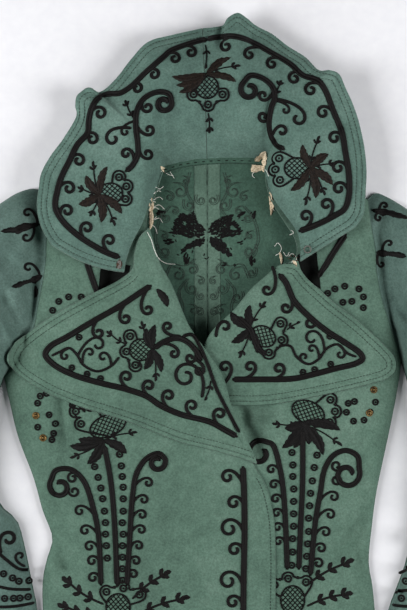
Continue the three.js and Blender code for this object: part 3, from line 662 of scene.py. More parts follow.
def wool_broadcloth(name, deep, main, faded, bloom="#b9cfc4"):
    """Matt dyed wool: a soft sheen from the raised nap, and slow fading over the garment."""
    material = new_material(name)
    here = place(material)
    slow = node(material, "TexNoise", Vector=here, Scale=FADING, Detail=4.0, Roughness=0.6)
    patchy = node(material, "TexNoise", Vector=here, Scale=PATCHES, Detail=5.0, Roughness=0.65)
    uneven = node(material, "Mix", {"data_type": "FLOAT"},
                  _0=0.45, _2=slow.outputs["Fac"], _3=patchy.outputs["Fac"])
    tone = ramp(material, uneven.outputs[0], (0.33, deep), (0.5, main), (0.66, faded))
    fleck = node(material, "TexNoise", Vector=here, Scale=LINT, Detail=4.0, Roughness=0.75)
    lint = ramp(material, fleck.outputs["Fac"], (0.38, "#8f8f8f"), (0.62, "#e4e4e4"))
    flecked = node(material, "Mix", {"data_type": "RGBA", "blend_type": "OVERLAY"},
                   _0=0.42, _6=tone, _7=lint)
    turned = node(material, "Mapping", Vector=here, Rotation=(0, 0, math.radians(38)))
    twill = node(material, "TexWave", {"wave_profile": "SIN"}, Vector=turned.outputs[0],
                 Scale=1 / TWILL_PITCH / 3.2, Distortion=1.2, Detail=2.0)
    nap = node(material, "TexNoise", Vector=here, Scale=NAP, Detail=4.0, Roughness=0.75)
    grain = node(material, "Math", {"operation": "MULTIPLY_ADD"},
                 _0=twill.outputs["Fac"], _1=0.35, _2=nap.outputs["Fac"])
    bump = node(material, "Bump", Strength=0.5, Distance=0.25 * MM, Height=grain.outputs[0])
    shader = node(material, "BsdfPrincipled", Base_Color=flecked.outputs[2], Roughness=0.92,
                  Normal=bump.outputs[0], Sheen_Weight=0.28, Sheen_Roughness=0.45, Sheen_Tint=linear(bloom),
                  Specular_IOR_Level=0.2)
    return finish_material(material, shader)


# Matt sea green, the tone of the whole jacket.
WOOL = wool_broadcloth("milled_wool_broadcloth", "#3e5449", "#4b6457", "#576f62")
# The collar and the sleeves carry painted light: the collar a paler, bluer green and the sleeves a
# bluer one, for the cool light that falls on them.
COLLAR_WOOL_PAINTED_LIGHT = wool_broadcloth("collar_broadcloth_painted_cool_light", "#425851", "#4d665d", "#5a7269")
SLEEVE_WOOL_PAINTED_LIGHT = wool_broadcloth("sleeve_broadcloth_painted_cool_light", "#3b4f4a", "#4a6059", "#576d66")
# Seam allowances are pressed flat, so their nap is thinner and blooms less.
SEAM_WOOL = wool_broadcloth("pressed_seam_broadcloth", "#3c5247", "#495f53", "#546b5e", bloom="#9ab3a7")
# The wrong side is painted a deeper green than the outside: painted shade of the collar and fronts
# that overhang the inside of the neck.
INSIDE_WOOL_PAINTED_SHADE = wool_broadcloth("inside_broadcloth_painted_shade", "#2c4339", "#385145", "#435d50", bloom="#7d9a8c")
print("wools:", ", ".join(m.name for m in (WOOL, COLLAR_WOOL_PAINTED_LIGHT, SLEEVE_WOOL_PAINTED_LIGHT, SEAM_WOOL, INSIDE_WOOL_PAINTED_SHADE)))

# %% [markdown]
# Soutache is a flat braid of mohair or silk plaited over two cords, with a groove down its middle where
# it is sewn. It gives the eye a black line with two soft ridges and a low broken gleam. The plait is
# drawn along the braid's own length, which each mesh carries as its UV.

# %% Black mohair soutache
PLAIT_PITCH = 1.4   # millimetres along the braid for one plait, about twice the usual one
FUZZ = 420.0   # waves per metre: 2.4 mm tufts of mohair that stand off the plait


def soutache(name, dark, light, gleam):
    """Plaited braid or laid floss: a slanting ripple along the UV, and fuzz over it."""
    material = new_material(name)
    along = node(material, "TexCoord").outputs["UV"]
    split = node(material, "SeparateXYZ", Vector=along)
    slant = node(material, "Math", {"operation": "MULTIPLY_ADD"},
                 _0=split.outputs["Y"], _1=0.9, _2=split.outputs["X"])
    turns = node(material, "Math", {"operation": "MULTIPLY"},
                 _0=slant.outputs[0], _1=2 * math.pi / PLAIT_PITCH)
    plait = node(material, "Math", {"operation": "SINE"}, _0=turns.outputs[0])
    fuzz = node(material, "TexNoise", Vector=place(material), Scale=FUZZ, Detail=3.0, Roughness=0.7)
    tone = ramp(material, fuzz.outputs["Fac"], (0.35, dark), (0.7, light))
    relief = node(material, "Math", {"operation": "MULTIPLY_ADD"},
                  _0=plait.outputs[0], _1=0.4, _2=fuzz.outputs["Fac"])
    bump = node(material, "Bump", Strength=0.55, Distance=0.3 * MM, Height=relief.outputs[0])
    shader = node(material, "BsdfPrincipled", Base_Color=tone, Roughness=0.6,
                  Normal=bump.outputs[0], Sheen_Weight=0.03, Sheen_Roughness=0.4, Sheen_Tint=linear(gleam),
                  Specular_IOR_Level=0.13)
    return finish_material(material, shader)


# A warm black that stays matt from above and shows its two ridges only at a low angle.
BRAID = soutache("black_mohair_soutache", "#050404", "#0f0c0b", "#4a4440")
print("one plait every", PLAIT_PITCH, "mm")

# %% [markdown]
# ## The body panels
#
# The backs lie flat on the table and show only through the neck. The fronts lie over them, hollow
# between, and the creases are listed one by one: soft troughs at the waist and bust where the empty
# cloth has sunk, with a low uneven swell all over.

# %% Edges and creases of the body
def outer_edge(armhole, side):
    """The armhole and then the side seam, read as one edge."""
    upper, lower = curve(armhole), curve(side)

    def at(share):
        share = np.atleast_1d(share)
        high = upper(share / ARMHOLE_SHARE)
        low = lower((share - ARMHOLE_SHARE) / (1 - ARMHOLE_SHARE))
        return np.where((share <= ARMHOLE_SHARE)[:, None], high, low)

    return at


def body_steps(armhole, side, cell=CELL):
    """Rows down the body, with one on the underarm point and close ones at both ends."""
    upper = np.linspace(0, ARMHOLE_SHARE, round(curve(armhole).length / cell))
    lower = np.linspace(ARMHOLE_SHARE, 1, round(curve(side).length / cell))
    return np.r_[0, 0.0015, upper[1:], lower[1:-1], 0.9985, 1]


# A crease runs between two points; a negative depth is a ridge.
CREASES = table("fromX fromY toX toY reach depth", [
    (-162, -104, -156, -160, 7, 10), (-150, -96, -143, -128, 7, 3.0), (-172, -206, -150, -244, 7, 5.0),
    (-165, -268, -155, -300, 5.5, 12), (-168, -250, -140, -276, 6, 2.6), (-150, -300, -120, -286, 7, -1.6),
    (158, -276, 186, -240, 7, 8), (166, -262, 180, -310, 6, 6), (120, -236, 160, -262, 9, 1.6),
    (-66, -170, -60, -215, 8, 1.5), (-20, -186, -26, -240, 11, 1.3), (60, -120, 64, -180, 7, 2.4),
    (-186, -120, -150, -190, 9, 1.6), (196, -100, 176, -190, 9, 1.8), (-186, 30, -160, -6, 8, -2.0),
    (196, 40, 170, 4, 8, -2.0), (-190, -10, -164, -40, 7, 2.0), (200, -4, 176, -30, 7, 2.0),
    (-30, -330, 20, -352, 16, 1.5), (36, -120, 76, -122, 9, 12), (40, -122, 58, -158, 9, 12),
    (-108, 38, -100, 22, 11, 15), (116, 50, 124, 34, 11, 15)])


def creased(x, y, creases=CREASES):
    """How much the creases lift or lower the cloth, each a soft trough along a short line."""
    total = np.zeros_like(x)
    for fx, fy, tx, ty, reach, depth in zip(*creases.values()):
        length = math.hypot(tx - fx, ty - fy)
        ux, uy = (tx - fx) / length, (ty - fy) / length
        along = ((x - fx) * ux + (y - fy) * uy) / length
        aside = (y - fy) * ux - (x - fx) * uy
        fade = ease(along, -0.35, 0.25) * (1 - ease(along, 0.7, 1.4))
        bend = aside - 0.18 * length * (along - 0.5) ** 2
        total -= depth * fade * hump(bend, 0, reach * (0.8 + 0.4 * along))
    return total


print("creases on the body:", len(CREASES["depth"]))


def edge_distance(shape, spans):
    """Rough distance in mm from the nearest edge of a grid, from its mean spans."""
    rows, columns = shape
    i = np.minimum(np.arange(rows), np.arange(rows)[::-1])[:, None] * spans[0] / (rows - 1)
    j = np.minimum(np.arange(columns), np.arange(columns)[::-1])[None] * spans[1] / (columns - 1)
    return np.minimum(i, j)


MEAN_SPANS = 400, 180   # a front measured along and across, in millimetres


def raised(grid, height, swell=0.8, seed=1):
    """A front at its height, with creases and swell that fade out at its edges, above the back."""
    x, y = grid[..., 0], grid[..., 1]
    inside = ease(edge_distance(x.shape, MEAN_SPANS), 0, 18)
    z = height(x, y) + inside * (
        creased(x, y) + swell * wander(x, y, 95, seed) + 0.3 * wander(x, y, 34, seed + 9))
    return np.dstack([x, y, np.maximum(z, LIE + FRONT_CLOTH)])


# %% [markdown]
# The back is two plain panels with a seam down the middle. The fronts could be cut as one open sheet, but the
# real ones overlap, so each is its own panel with its own inner edge: neck, roll line and closing edge.

# %% Grids of the backs and fronts
SHOULDER_SHARE = 0.6   # how much of a back's top edge is shoulder seam, the rest being neck


def back_grid(armhole, side, neck_side):
    """One half of the back, flat on the table, with half the seam's gap at the centre."""
    outer = outer_edge(armhole, side)
    gap = neck_side * SEAM * 0.5
    centre = curve(plan(CENTRE_BACK) + [gap, 0])
    neck = curve(BACK_NECK[:3] if neck_side < 0 else BACK_NECK[:1:-1])

    def top(share):
        share = np.atleast_1d(share)
        shoulder = line(outer(0), neck(0))(share / SHOULDER_SHARE)
        round_neck = neck((share - SHOULDER_SHARE) / (1 - SHOULDER_SHARE))
        return np.where((share < SHOULDER_SHARE)[:, None], shoulder, round_neck) + share[:, None] * [gap, 0]

    down, across = body_steps(armhole, side, 9), np.linspace(0, 1, 26)
    flat = patch(top, line(outer(1), centre(1)), outer, centre, down, across)
    return np.dstack([flat, np.full(flat.shape[:2], BACK_CLOTH)])


def front_grid(armhole, side, inner_rows, height, seed):
    """One front, raised to its height."""
    outer, inner = outer_edge(armhole, side), curve(inner_rows)
    flat = patch(line(outer(0), inner(0)), line(outer(1), inner(1)), outer, inner,
                 body_steps(armhole, side), steps(190))
    return raised(flat, height, seed=seed)


set_back = ROLL_RADIUS + ROLL_CLEAR
left_inner = [*LEFT_NECK, *beside(LEFT_ROLL, set_back, 6), *LEFT_UNDERLAP]
right_inner = [*RIGHT_NECK, *beside(RIGHT_ROLL, -set_back, 10), *RIGHT_CLOSING]
back_right = back_grid(RIGHT_ARMHOLE, RIGHT_SIDE, -1)
back_left = back_grid(LEFT_ARMHOLE, LEFT_SIDE, 1)
front_left = front_grid(LEFT_ARMHOLE, LEFT_SIDE, left_inner, left_front_top, 3)
front_right = front_grid(RIGHT_ARMHOLE, RIGHT_SIDE, right_inner, right_front_top, 5)
print("rows and columns of the right front:", front_right.shape[:2])

# %% [markdown]
# A sheet of cloth has a size before it is sewn. It is measured on the grid itself: the area of its cells,
# and the longest row and column, which give the rectangle that the panel was cut from.

# %% Panels and what they are cut from
def flat_size(grid):
    """The cut of one layer: its area in square metres and the box it was cut from."""
    a, b = grid[1:, 1:] - grid[:-1, :-1], grid[1:, :-1] - grid[:-1, 1:]
    area = np.linalg.norm(np.cross(a, b), axis=2).sum() / 2 * MM * MM
    down = np.linalg.norm(np.diff(grid, axis=0), axis=2).sum(axis=0).max() * MM
    across = np.linalg.norm(np.diff(grid, axis=1), axis=2).sum(axis=1).max() * MM
    return (float(across), float(down)), float(area)


def panel(name, grid, thickness, rest, material, replaces=()):
    """A closed panel, with the size of the sheet that its own grid measures printed."""
    points, faces = shell(grid, thickness, rest)
    obj = piece(name, points, enclosed(points, faces), material, replaces)
    (width, length), area = flat_size(grid)
    area = min(area, 0.999 * width * length)
    print(f"{name}: {len(faces) * 2} triangles, cut from {width:.3f} x {length:.3f} m, {area:.4f} m2")


# The backs take the inside wool, darkened with painted shade.
panel("right_back", back_right, BACK_CLOTH, 0, INSIDE_WOOL_PAINTED_SHADE, ["back_right"])
panel("left_back", back_left, BACK_CLOTH, 0, INSIDE_WOOL_PAINTED_SHADE, ["back_left"])
panel("left_front", front_left, FRONT_CLOTH, LIE, WOOL, ["front_left"])
panel("right_front", front_right, FRONT_CLOTH, LIE, WOOL, ["front_right"])

# %% [markdown]
# ## The sleeves
#
# A leg-of-mutton sleeve is one wide piece gathered into the armhole, with a narrow under piece. Its
# head stands up in a puff on small uneven pleats, and long slack folds run down toward the elbow.

# %% Sleeves
SLEEVE_FAN, ARMHOLE_FADE = 1.8, 4
HEAD_GATHERS = dict(waves=4.5, depth=2.6, reach=0.16)
HEAD_PUCKERS = dict(waves=11, depth=0.7, reach=0.07)
SLEEVE_CREASES = table("fromX fromY toX toY reach depth", [
    (-187, 82, -191, -14, 8, 10), (-226, 52, -206, 30, 8, 9), (-228, 10, -202, -44, 8, 12),
    (-202, 98, -216, 62, 6, 4), (-234, -20, -214, -62, 7, 9), (-252, -60, -228, -120, 9, 7),
    (197, 102, 203, 4, 8, 8), (213, 18, 232, -22, 8, 14), (198, 8, 215, -38, 7, 7),
    (206, 118, 224, 84, 6, 4), (214, -36, 226, -88, 9, 16), (240, 20, 250, -40, 10, 5)])


def sleeve_plan(armhole, inner_rows, outer_rows, away, down, across):
    """A sleeve as it lies: it starts on the armhole's curve, which fades out down the arm."""
    arm, inner, outer = curve(armhole), curve(inner_rows), curve(outer_rows)
    u, v = across[None, :, None], down[:, None, None]
    ends = inner(down**SLEEVE_FAN)[:, None], outer(down)[:, None]
    chord = line(arm(1), arm(0))(across)
    bow = (arm(1 - across) - chord)[None] * (1 - v) ** ARMHOLE_FADE
    return mix(ends[0], ends[1], u) + bow + [away * SEAM, 0]


def sleeve_grids(armhole, inner_rows, outer_rows, height, away, seed):
    """The gathered top piece and the flat under piece of one sleeve."""
    down = np.r_[0, 0.0012, np.linspace(0, 1, 150)[1:-1] ** 1.15, 0.9988, 1]
    across = steps(200, 3.4)
    flat = sleeve_plan(armhole, inner_rows, outer_rows, away, down, across)
    share, side = down[:, None], across[None]
    seam = curve(armhole)(1 - across)
    puff = height_at(PUFF, share) * np.ones_like(side)
    for gather in (HEAD_GATHERS, HEAD_PUCKERS):
        uneven = side + 0.03 * np.sin(2 * math.pi * (side * 2.3 + seed))
        wave = np.cos(2 * math.pi * gather["waves"] * uneven) * ease(share, 0, 0.03)
        puff = puff + gather["depth"] * wave * np.exp(-((share / gather["reach"]) ** 2))
    x, y = flat[..., 0], flat[..., 1]
    puff = puff + ease(share, 0.02, 0.2) * (1.6 * wander(x, y, 120, seed) + 0.5 * wander(x, y, 46, seed + 4))
    slack = np.sin(2 * math.pi * (side * 2.1 + 0.5 * share + 0.13 * seed))
    puff = puff + 1.5 * slack * ease(share, 0.35, 0.6)
    folds = creased(x, y, SLEEVE_CREASES) * ease(share, 0.002, 0.015) * dome(side)
    lowest = LIE + SLEEVE_CLOTH
    risen = lowest + puff * dome(side)
    z = mix(height(seam[:, 0], seam[:, 1])[None], risen, ease(share, 0, 0.08))
    z = np.maximum(z + folds, mix(lowest, z, 0.3))
    coarse = down[::3]
    if coarse[-1] < 1:
        coarse = np.r_[coarse, 1.0]
    under = sleeve_plan(armhole, inner_rows, outer_rows, away, coarse, across[::2])
    return np.dstack([x, y, z]), np.dstack([under, np.full(under.shape[:2], BACK_CLOTH)])


sleeves = {
    "right": sleeve_grids(RIGHT_ARMHOLE, RIGHT_SLEEVE_INNER, RIGHT_SLEEVE_OUTER, right_front_top, -1, 2),
    "left": sleeve_grids(LEFT_ARMHOLE, LEFT_SLEEVE_INNER, LEFT_SLEEVE_OUTER, left_front_top, 1, 6)}
for side, (top, under) in sleeves.items():
    # The sleeve tops take the wool with painted cool light.
    panel(side + "_sleeve_top", top, SLEEVE_CLOTH, LIE, SLEEVE_WOOL_PAINTED_LIGHT,
          [f"sleeve_{side}_top"])
    panel(side + "_sleeve_under", under, BACK_CLOTH, 0, INSIDE_WOOL_PAINTED_SHADE, [f"sleeve_{side}_under"])

# %% [markdown]
# ## The revers
#
# Each rever is the front's own edge turned back on a soft roll, so the shell starts under the fold,
# turns round a 3 mm radius and springs down until it lies on the front.

# %% Revers
TURN = np.radians(np.linspace(-90, 45, 10))    # angles round the fold, from under it to its far side


def rever_grid(roll_rows, top_rows, outer_rows, height, away, seed):
    """One rever: the fold's columns first, and then the part that lies on the front."""
    roll, top, outer = curve(roll_rows), curve(top_rows), curve(outer_rows)
    down = steps_to_edge(outer.length, 3.2, HEM, start=True)
    across = steps_to_edge(120, 3.0, HEM, end=True)
    across = np.r_[0.05, across[across > 0.07]]
    flat = patch(top, line(roll(1), outer(1)), roll, outer, down, across)
    edge = roll(down)
    out = -away * leftward(roll(down + 0.01) - roll(down - 0.01))
    turned = edge[:, None] + out[:, None] * (ROLL_RADIUS * (1 - np.cos(TURN)))[None, :, None]
    turned_z = height(turned[..., 0], turned[..., 1]) - FRONT_CLOTH + ROLL_RADIUS * (1 + np.sin(TURN))[None]
    distance = np.linalg.norm(flat - edge[:, None], axis=2)
    spring = mix(REVER_SPRING, FRONT_CLOTH + LAID_GAP, ease(distance, 4, REVER_SETTLE))
    x, y = flat[..., 0], flat[..., 1]
    lift = 0.5 + 0.5 * wander(x, y, 70, seed)
    z = height(x, y) + spring + ease(distance, 10, 40) * lift
    return np.concatenate([np.dstack([turned, turned_z]), np.dstack([flat, z])], axis=1)


def seated(cloth, otherwise):
    """The height of finished cloth, or of a formula where there is none below."""
    def height(x, y):
        top = cloth.around(x, y)
        return np.where(np.isfinite(top), top, otherwise(x, y))
    return height


on_left = seated(Cloth(front_left, sleeves["left"][0]), left_front_top)
on_right = seated(Cloth(front_right, sleeves["right"][0]), right_front_top)
rever_left = rever_grid(LEFT_ROLL, LEFT_REVER_TOP, LEFT_REVER_OUTER, on_left, -1, 21)
rever_right = rever_grid(RIGHT_ROLL, RIGHT_REVER_TOP, RIGHT_REVER_OUTER, on_right, 1, 24)
rever_left, rever_right = (pressed(g, outline_of(g[:, len(TURN):])) for g in (rever_left, rever_right))
for side, grid in (("left", rever_left), ("right", rever_right)):
    panel(side + "_rever", grid, FRONT_CLOTH, LIE, WOOL, ["rever_" + side])

# %% [markdown]
# ## The collar
#
# The collar is cut as two halves. Its plain stand climbs from the neck seam, turns over a soft ridge
# and falls outward to an edge that is longer than its seam, so it flutes. Each half is lofted through
# stations from the notch round to the centre back.

# %% Collar halves
STAND_FOLDS = table("x reach depth", [
    (-29, 9, 2.2), (32, 8, 1.9), (47, 7, 2.4), (-12, 10, -1.2), (60, 6, 1.8)])
COLLAR_CREASES = table("fromX fromY toX toY reach depth", [
    (-51, 222, -47, 164, 5, 4.5), (70, 230, 69, 166, 5, 4.5), (22, 316, 18, 290, 4, 3.0),
    (14, 314, 10, 292, 4, -2.4),
    (106, 282, 136, 261, 5, 2.8), (112, 272, 140, 250, 5, -1.6), (-143, 240, -112, 231, 5, 3.0),
    (-122, 268, -104, 250, 5, 2.0), (52, 304, 56, 284, 4, 2.0), (170, 208, 150, 200, 4, 1.8),
    (-166, 186, -144, 178, 4, 1.8), (-150, 90, -138, 110, 6, 1.2), (-80, 200, -76, 150, 8, 1.0)])


def stations(rows, share):
    """All columns of a table at shares of the way down it, on cubics through the rows."""
    count = len(rows["inX"])
    place = np.clip(share, 0, 1) * (count - 1)
    row = np.minimum(place.astype(int), count - 2)
    t = place - row
    result = {}
    for key, column in rows.items():
        before, start, end, after = (column[np.clip(row + k, 0, count - 1)] for k in (-1, 0, 1, 2))
        leave, arrive = (end - before) / 2, (after - start) / 2
        cube = 2 * start - 2 * end + leave + arrive
        square = -3 * start + 3 * end - 2 * leave - arrive
        result[key] = (((cube * t + square) * t + leave) * t + start)[:, None]
    return result


def collar_grid(rows, below, length, seed):
    """One half of the collar, kept clear of whatever it lies on."""
    share = steps_to_edge(length, 3.2, HEM, start=True)
    out = steps_to_edge(115, 3.0, HEM, end=True)[None]
    at = stations(rows, share)
    climb = np.sin(math.pi / 2 * np.minimum(1, out / at["ridgeAt"]))
    fall = np.cos(math.pi / 2 * np.maximum(0, (out - at["ridgeAt"]) / (1 - at["ridgeAt"])))
    z = np.where(out < at["ridgeAt"], mix(at["inZ"], at["ridgeZ"], climb),
                 mix(at["outZ"], at["ridgeZ"], fall))
    x = mix(at["inX"], at["outX"], out)
    y = mix(at["inY"], at["outY"], out) - at["bow"] * 4 * out * (1 - out)
    inside = ease(out, 0, 0.12) * (1 - ease(out, 0.9, 1.0) * 0.6)
    z = z + inside * (0.9 * wander(x, y, 80, seed) + 0.3 * wander(x, y, 30, seed + 3))
    stand = ease(out, 0.02, 0.15) * (1 - ease(out, 0.3, 0.55)) * ease(y, 150, 175)
    for fold_x, reach, depth in zip(*STAND_FOLDS.values()):
        z = z - depth * stand * hump(x, fold_x, reach)
    z = z + ease(out, 0, 0.1) * creased(x, y, COLLAR_CREASES)
    floor = below.around(x, y) + FRONT_CLOTH + LAID_GAP
    return np.dstack([x, y, np.maximum(z, floor)])


collar_right = collar_grid(RIGHT_COLLAR, Cloth(front_right, sleeves["right"][0], rever_right), 480, 31)
collar_left = collar_grid(LEFT_COLLAR, Cloth(front_left, sleeves["left"][0], rever_left), 540, 34)
collar_right, collar_left = (pressed(grid, outline_of(grid)) for grid in (collar_right, collar_left))
for side, grid in (("right", collar_right), ("left", collar_left)):
    # The collar takes the wool with painted cool light.
    panel(side + "_collar", grid, FRONT_CLOTH, 0, COLLAR_WOOL_PAINTED_LIGHT,
          ["collar_" + side])

# %% [markdown]
# ## Couching the braid
#
# A braid is swept along its route with a section of two cords and a groove. Each point of the section
# asks the cloth for its height, so the braid drapes over folds as the sewn one does.

# %% Sweeping a braid
SOUTACHE_SECTION = np.array([(-1, 0), (-0.82, 0.72), (-0.5, 1), (-0.2, 0.75), (0, 0.42), (0.2, 0.75),
                             (0.5, 1), (0.82, 0.72), (1, 0)])
SUNK = 0.25   # how far a braid's foot presses into the nap
BRIDGED_STEP = 1.2     # a braid bridges a step in the cloth that is higher than this


class Trim:
    """Collects many sewn-on bits and joins them into one mesh."""

    def __init__(self, cloth):
        self.cloth, self.points, self.faces, self.uvs, self.count = cloth, [], [], [], 0

    def add(self, points, faces, uv):
        """Collects one closed relief."""
        self.points.append(points)
        self.faces.append(faces + self.count)
        self.uvs.append(uv)
        self.count += len(points)

    def ground(self, path, side):
        """The cloth under the left, the middle and the right of a braid, without sudden steps."""
        found = [self.cloth.height(*(path + side * s).T) for s in (-1, 0, 1)]
        highest = np.nanmax(np.where(np.isfinite(found), found, np.nan))
        middle = np.where(np.isfinite(found[1]), found[1], highest)
        sides = [np.where(np.isfinite(g), g, middle) for g in (found[0], found[2])]
        left, right = (np.clip(g, middle - BRIDGED_STEP, middle + BRIDGED_STEP) for g in sides)
        return left, middle, right

    def braid(self, route, width, height, step=1.6, closed=False):
        """Couches one braid along a dense plan route."""
        route = np.asarray(route, float)
        run = run_along(route)
        count = max(3, round(run[-1] / step)) + 1
        place = np.linspace(0, run[-1], count)
        path = read_at(route, run, place)
        way = np.gradient(path, axis=0)
        if closed:
            way[0] = way[-1] = path[1] - path[-2]
        way /= np.linalg.norm(way, axis=1)[:, None] + 1e-9
        side = np.column_stack([-way[:, 1], way[:, 0]]) * width / 2
        taper = np.ones(count)
        if not closed:
            taper = np.clip(np.minimum(place, run[-1] - place) / (width * 0.45), 0.35, 1)
        across, rise = SOUTACHE_SECTION.T
        xy = path[:, None] + side[:, None] * (across[None, :, None] * taper[:, None, None])
        left, middle, right = self.ground(path, side)
        slope = np.where(across[None] < 0, (middle - left)[:, None] * across,
                         (right - middle)[:, None] * across)
        top = middle[:, None] + slope + height * rise * taper[:, None] - SUNK * (rise == 0)
        base = np.column_stack([path, middle - SUNK])
        ring = np.concatenate([np.dstack([xy, top]), base[:, None]], axis=1)
        size = ring.shape[1]
        i = np.arange(count - 1)[:, None] * size
        j = np.arange(size)[None]
        following = (j + 1) % size
        faces = np.dstack([i + j, i + following, i + size + following, i + size + j]).reshape(-1, 4)
        if not closed:
            fan = [(size - 1, k, k + 1, k + 1) for k in range(size - 2)]
            last = (count - 1) * size
            faces = np.vstack([faces, [f[::-1] for f in fan], [tuple(last + v for v in f) for f in fan]])
        from_middle = np.r_[across * width / 2, 0][None].repeat(count, 0)
        uv = np.dstack([np.repeat(place[:, None], size, 1), from_middle])
        self.add(ring.reshape(-1, 3), faces, uv.reshape(-1, 2))
        return self

    def made(self, name, material, slot="braid", replaces=()):
        """Joins what was collected into one object, with its UV along the braid."""
        points, faces, uv = np.vstack(self.points), np.vstack(self.faces), np.vstack(self.uvs)
        obj = piece(name, points, enclosed(points, faces), material, replaces)
        layer = obj.data.uv_layers.new(name="along_braid")
        corners = np.zeros(len(obj.data.loops), np.int32)
        obj.data.loops.foreach_get("vertex_index", corners)
        layer.data.foreach_set("uv", uv[corners].ravel())
        print(name, len(faces) * 2, "triangles")
        return obj


def routed(rows, density=1.0):
    """A dense plan route through a few points."""
    path = curve(rows)
    return path(np.linspace(0, 1, max(8, round(path.length / density))))


# %% [markdown]
# The wide braids border the collar, the revers and the closing edge, and climb the fronts in stems. A
# tailor chalks such lines on the cloth with a few guide marks, and these tables are the marks.

# %% Routes of the wide braids
RIGHT_COLLAR_BRAID = [
    (-93, 53), (-107, 58), (-124, 67), (-143, 80), (-158, 95), (-165, 109), (-163, 126), (-158, 143),
    (-149, 161), (-141, 178), (-129, 192), (-128, 204), (-125, 217), (-118, 229), (-108, 235), (-93, 236),
    (-81, 243), (-66, 257), (-43, 277), (-38, 282), (-22, 289), (-3, 295), (5, 296)]
LEFT_COLLAR_BRAID = [
    (3, 296), (20, 299), (48, 295), (77, 280), (97, 268), (110, 256), (126, 250), (135, 239), (145, 215),
    (154, 193), (158, 170), (162, 144), (162, 122), (157, 107), (145, 99), (125, 89), (106, 82)]
RIGHT_REVER_BRAID = [
    (-58, 22), (-69, 15), (-93, -1), (-123, -18), (-153, -36), (-171, -46), (-177, -55), (-168, -66),
    (-145, -78), (-115, -87), (-86, -94), (-63, -102), (-48, -112), (-25, -122), (7, -130), (24, -139),
    (38, -147)]
LEFT_REVER_BRAID = [
    (84, 35), (92, 25), (101, 5), (119, -14), (139, -30), (158, -42), (175, -54), (178, -60), (171, -65),
    (147, -71), (124, -77), (101, -82), (62, -83), (32, -83)]
EDGE_BRAID = [(44, -180), (45, -199), (46, -246), (45, -308), (44, -400), (42, -478)]
RIGHT_COLLAR_SCROLL = [
    (-39, 216), (-35, 222), (-38, 233), (-50, 236), (-66, 229), (-74, 215), (-75, 196), (-73, 180),
    (-73, 167), (-79, 155), (-87, 148)]
LEFT_COLLAR_SCROLL = [
    (45, 236), (44, 246), (52, 254), (66, 251), (77, 241), (79, 230), (75, 218), (73, 201), (76, 187),
    (83, 177), (90, 172)]
RIGHT_REVER_STEM = [(-56, -49), (-44, -41), (-30, -37), (-18, -41), (-9, -50), (-2, -62)]
LEFT_REVER_STEM = [(38, -13), (46, -20), (53, -28), (57, -39), (62, -49), (70, -56)]
FRONT_STEMS = {
    "right_outer": [(-163, -204), (-171, -196), (-166, -186), (-150, -184), (-135, -196), (-124, -226),
                    (-118, -257), (-115, -315)],
    "right_centre": [(-111, -157), (-104, -196), (-100, -241), (-97, -315)],
    "right_inner": [(-50, -178), (-43, -172), (-50, -166), (-64, -172), (-75, -189), (-79, -210),
                    (-82, -250), (-86, -315)],
    "left_outer": [(162, -190), (175, -184), (173, -170), (160, -163), (146, -168), (136, -183),
                   (131, -210), (126, -240), (120, -304)],
    "left_centre": [(111, -139), (111, -199), (109, -246), (107, -297)],
    "left_inner": [(80, -160), (86, -185), (90, -215), (92, -246), (94, -297)]}
RIGHT_SHOULDER_BRAID = [(-131, 50), (-126, 34), (-118, 12)]
LEFT_SHOULDER_BRAID = [(160, 80), (145, 58), (129, 31)]

# %% [markdown]
# Each thick scroll ends in a coil. The coil is a spiral worked out from its middle, run on into the
# rest of the route so that one length of braid makes both.

# %% Coils that end the thick scrolls
def curl(centre, radius, start, turn, turns=1.3, inner=0.3):
    """A coil: it leaves its start, rounds its centre and winds inward, anticlockwise for turn 1."""
    centre, start = np.array(centre, float), np.array(start, float)
    away = start - centre
    share = np.linspace(0, 1, 60)
    angle = math.atan2(away[1], away[0]) + turn * share * turns * 2 * math.pi
    reach = radius * (1 - (1 - inner) * share**1.1)
    reach = reach + (np.hypot(*away) - radius) * np.exp(-share / 0.07)
    return centre + np.column_stack([np.cos(angle), np.sin(angle)]) * reach[:, None]


def volute(rows, skip, centre, turn, turns=1.0, inner=0.36):
    """A thick scroll: its coil and then its route, without the rows that the coil takes over."""
    rest = plan(rows)[skip:]
    radius = np.hypot(*(rest[0] - centre)) * 0.97
    coil = curl(centre, radius, rest[0], turn, turns, inner)
    return np.vstack([coil[::-1], routed(rest)[1:]])


# %% [markdown]
# Each wide braid is swept on the panel that it is sewn to, and takes the place of its solid. The stems end
# in coils, except the middle ones, which run up under the leaves of a fruit.

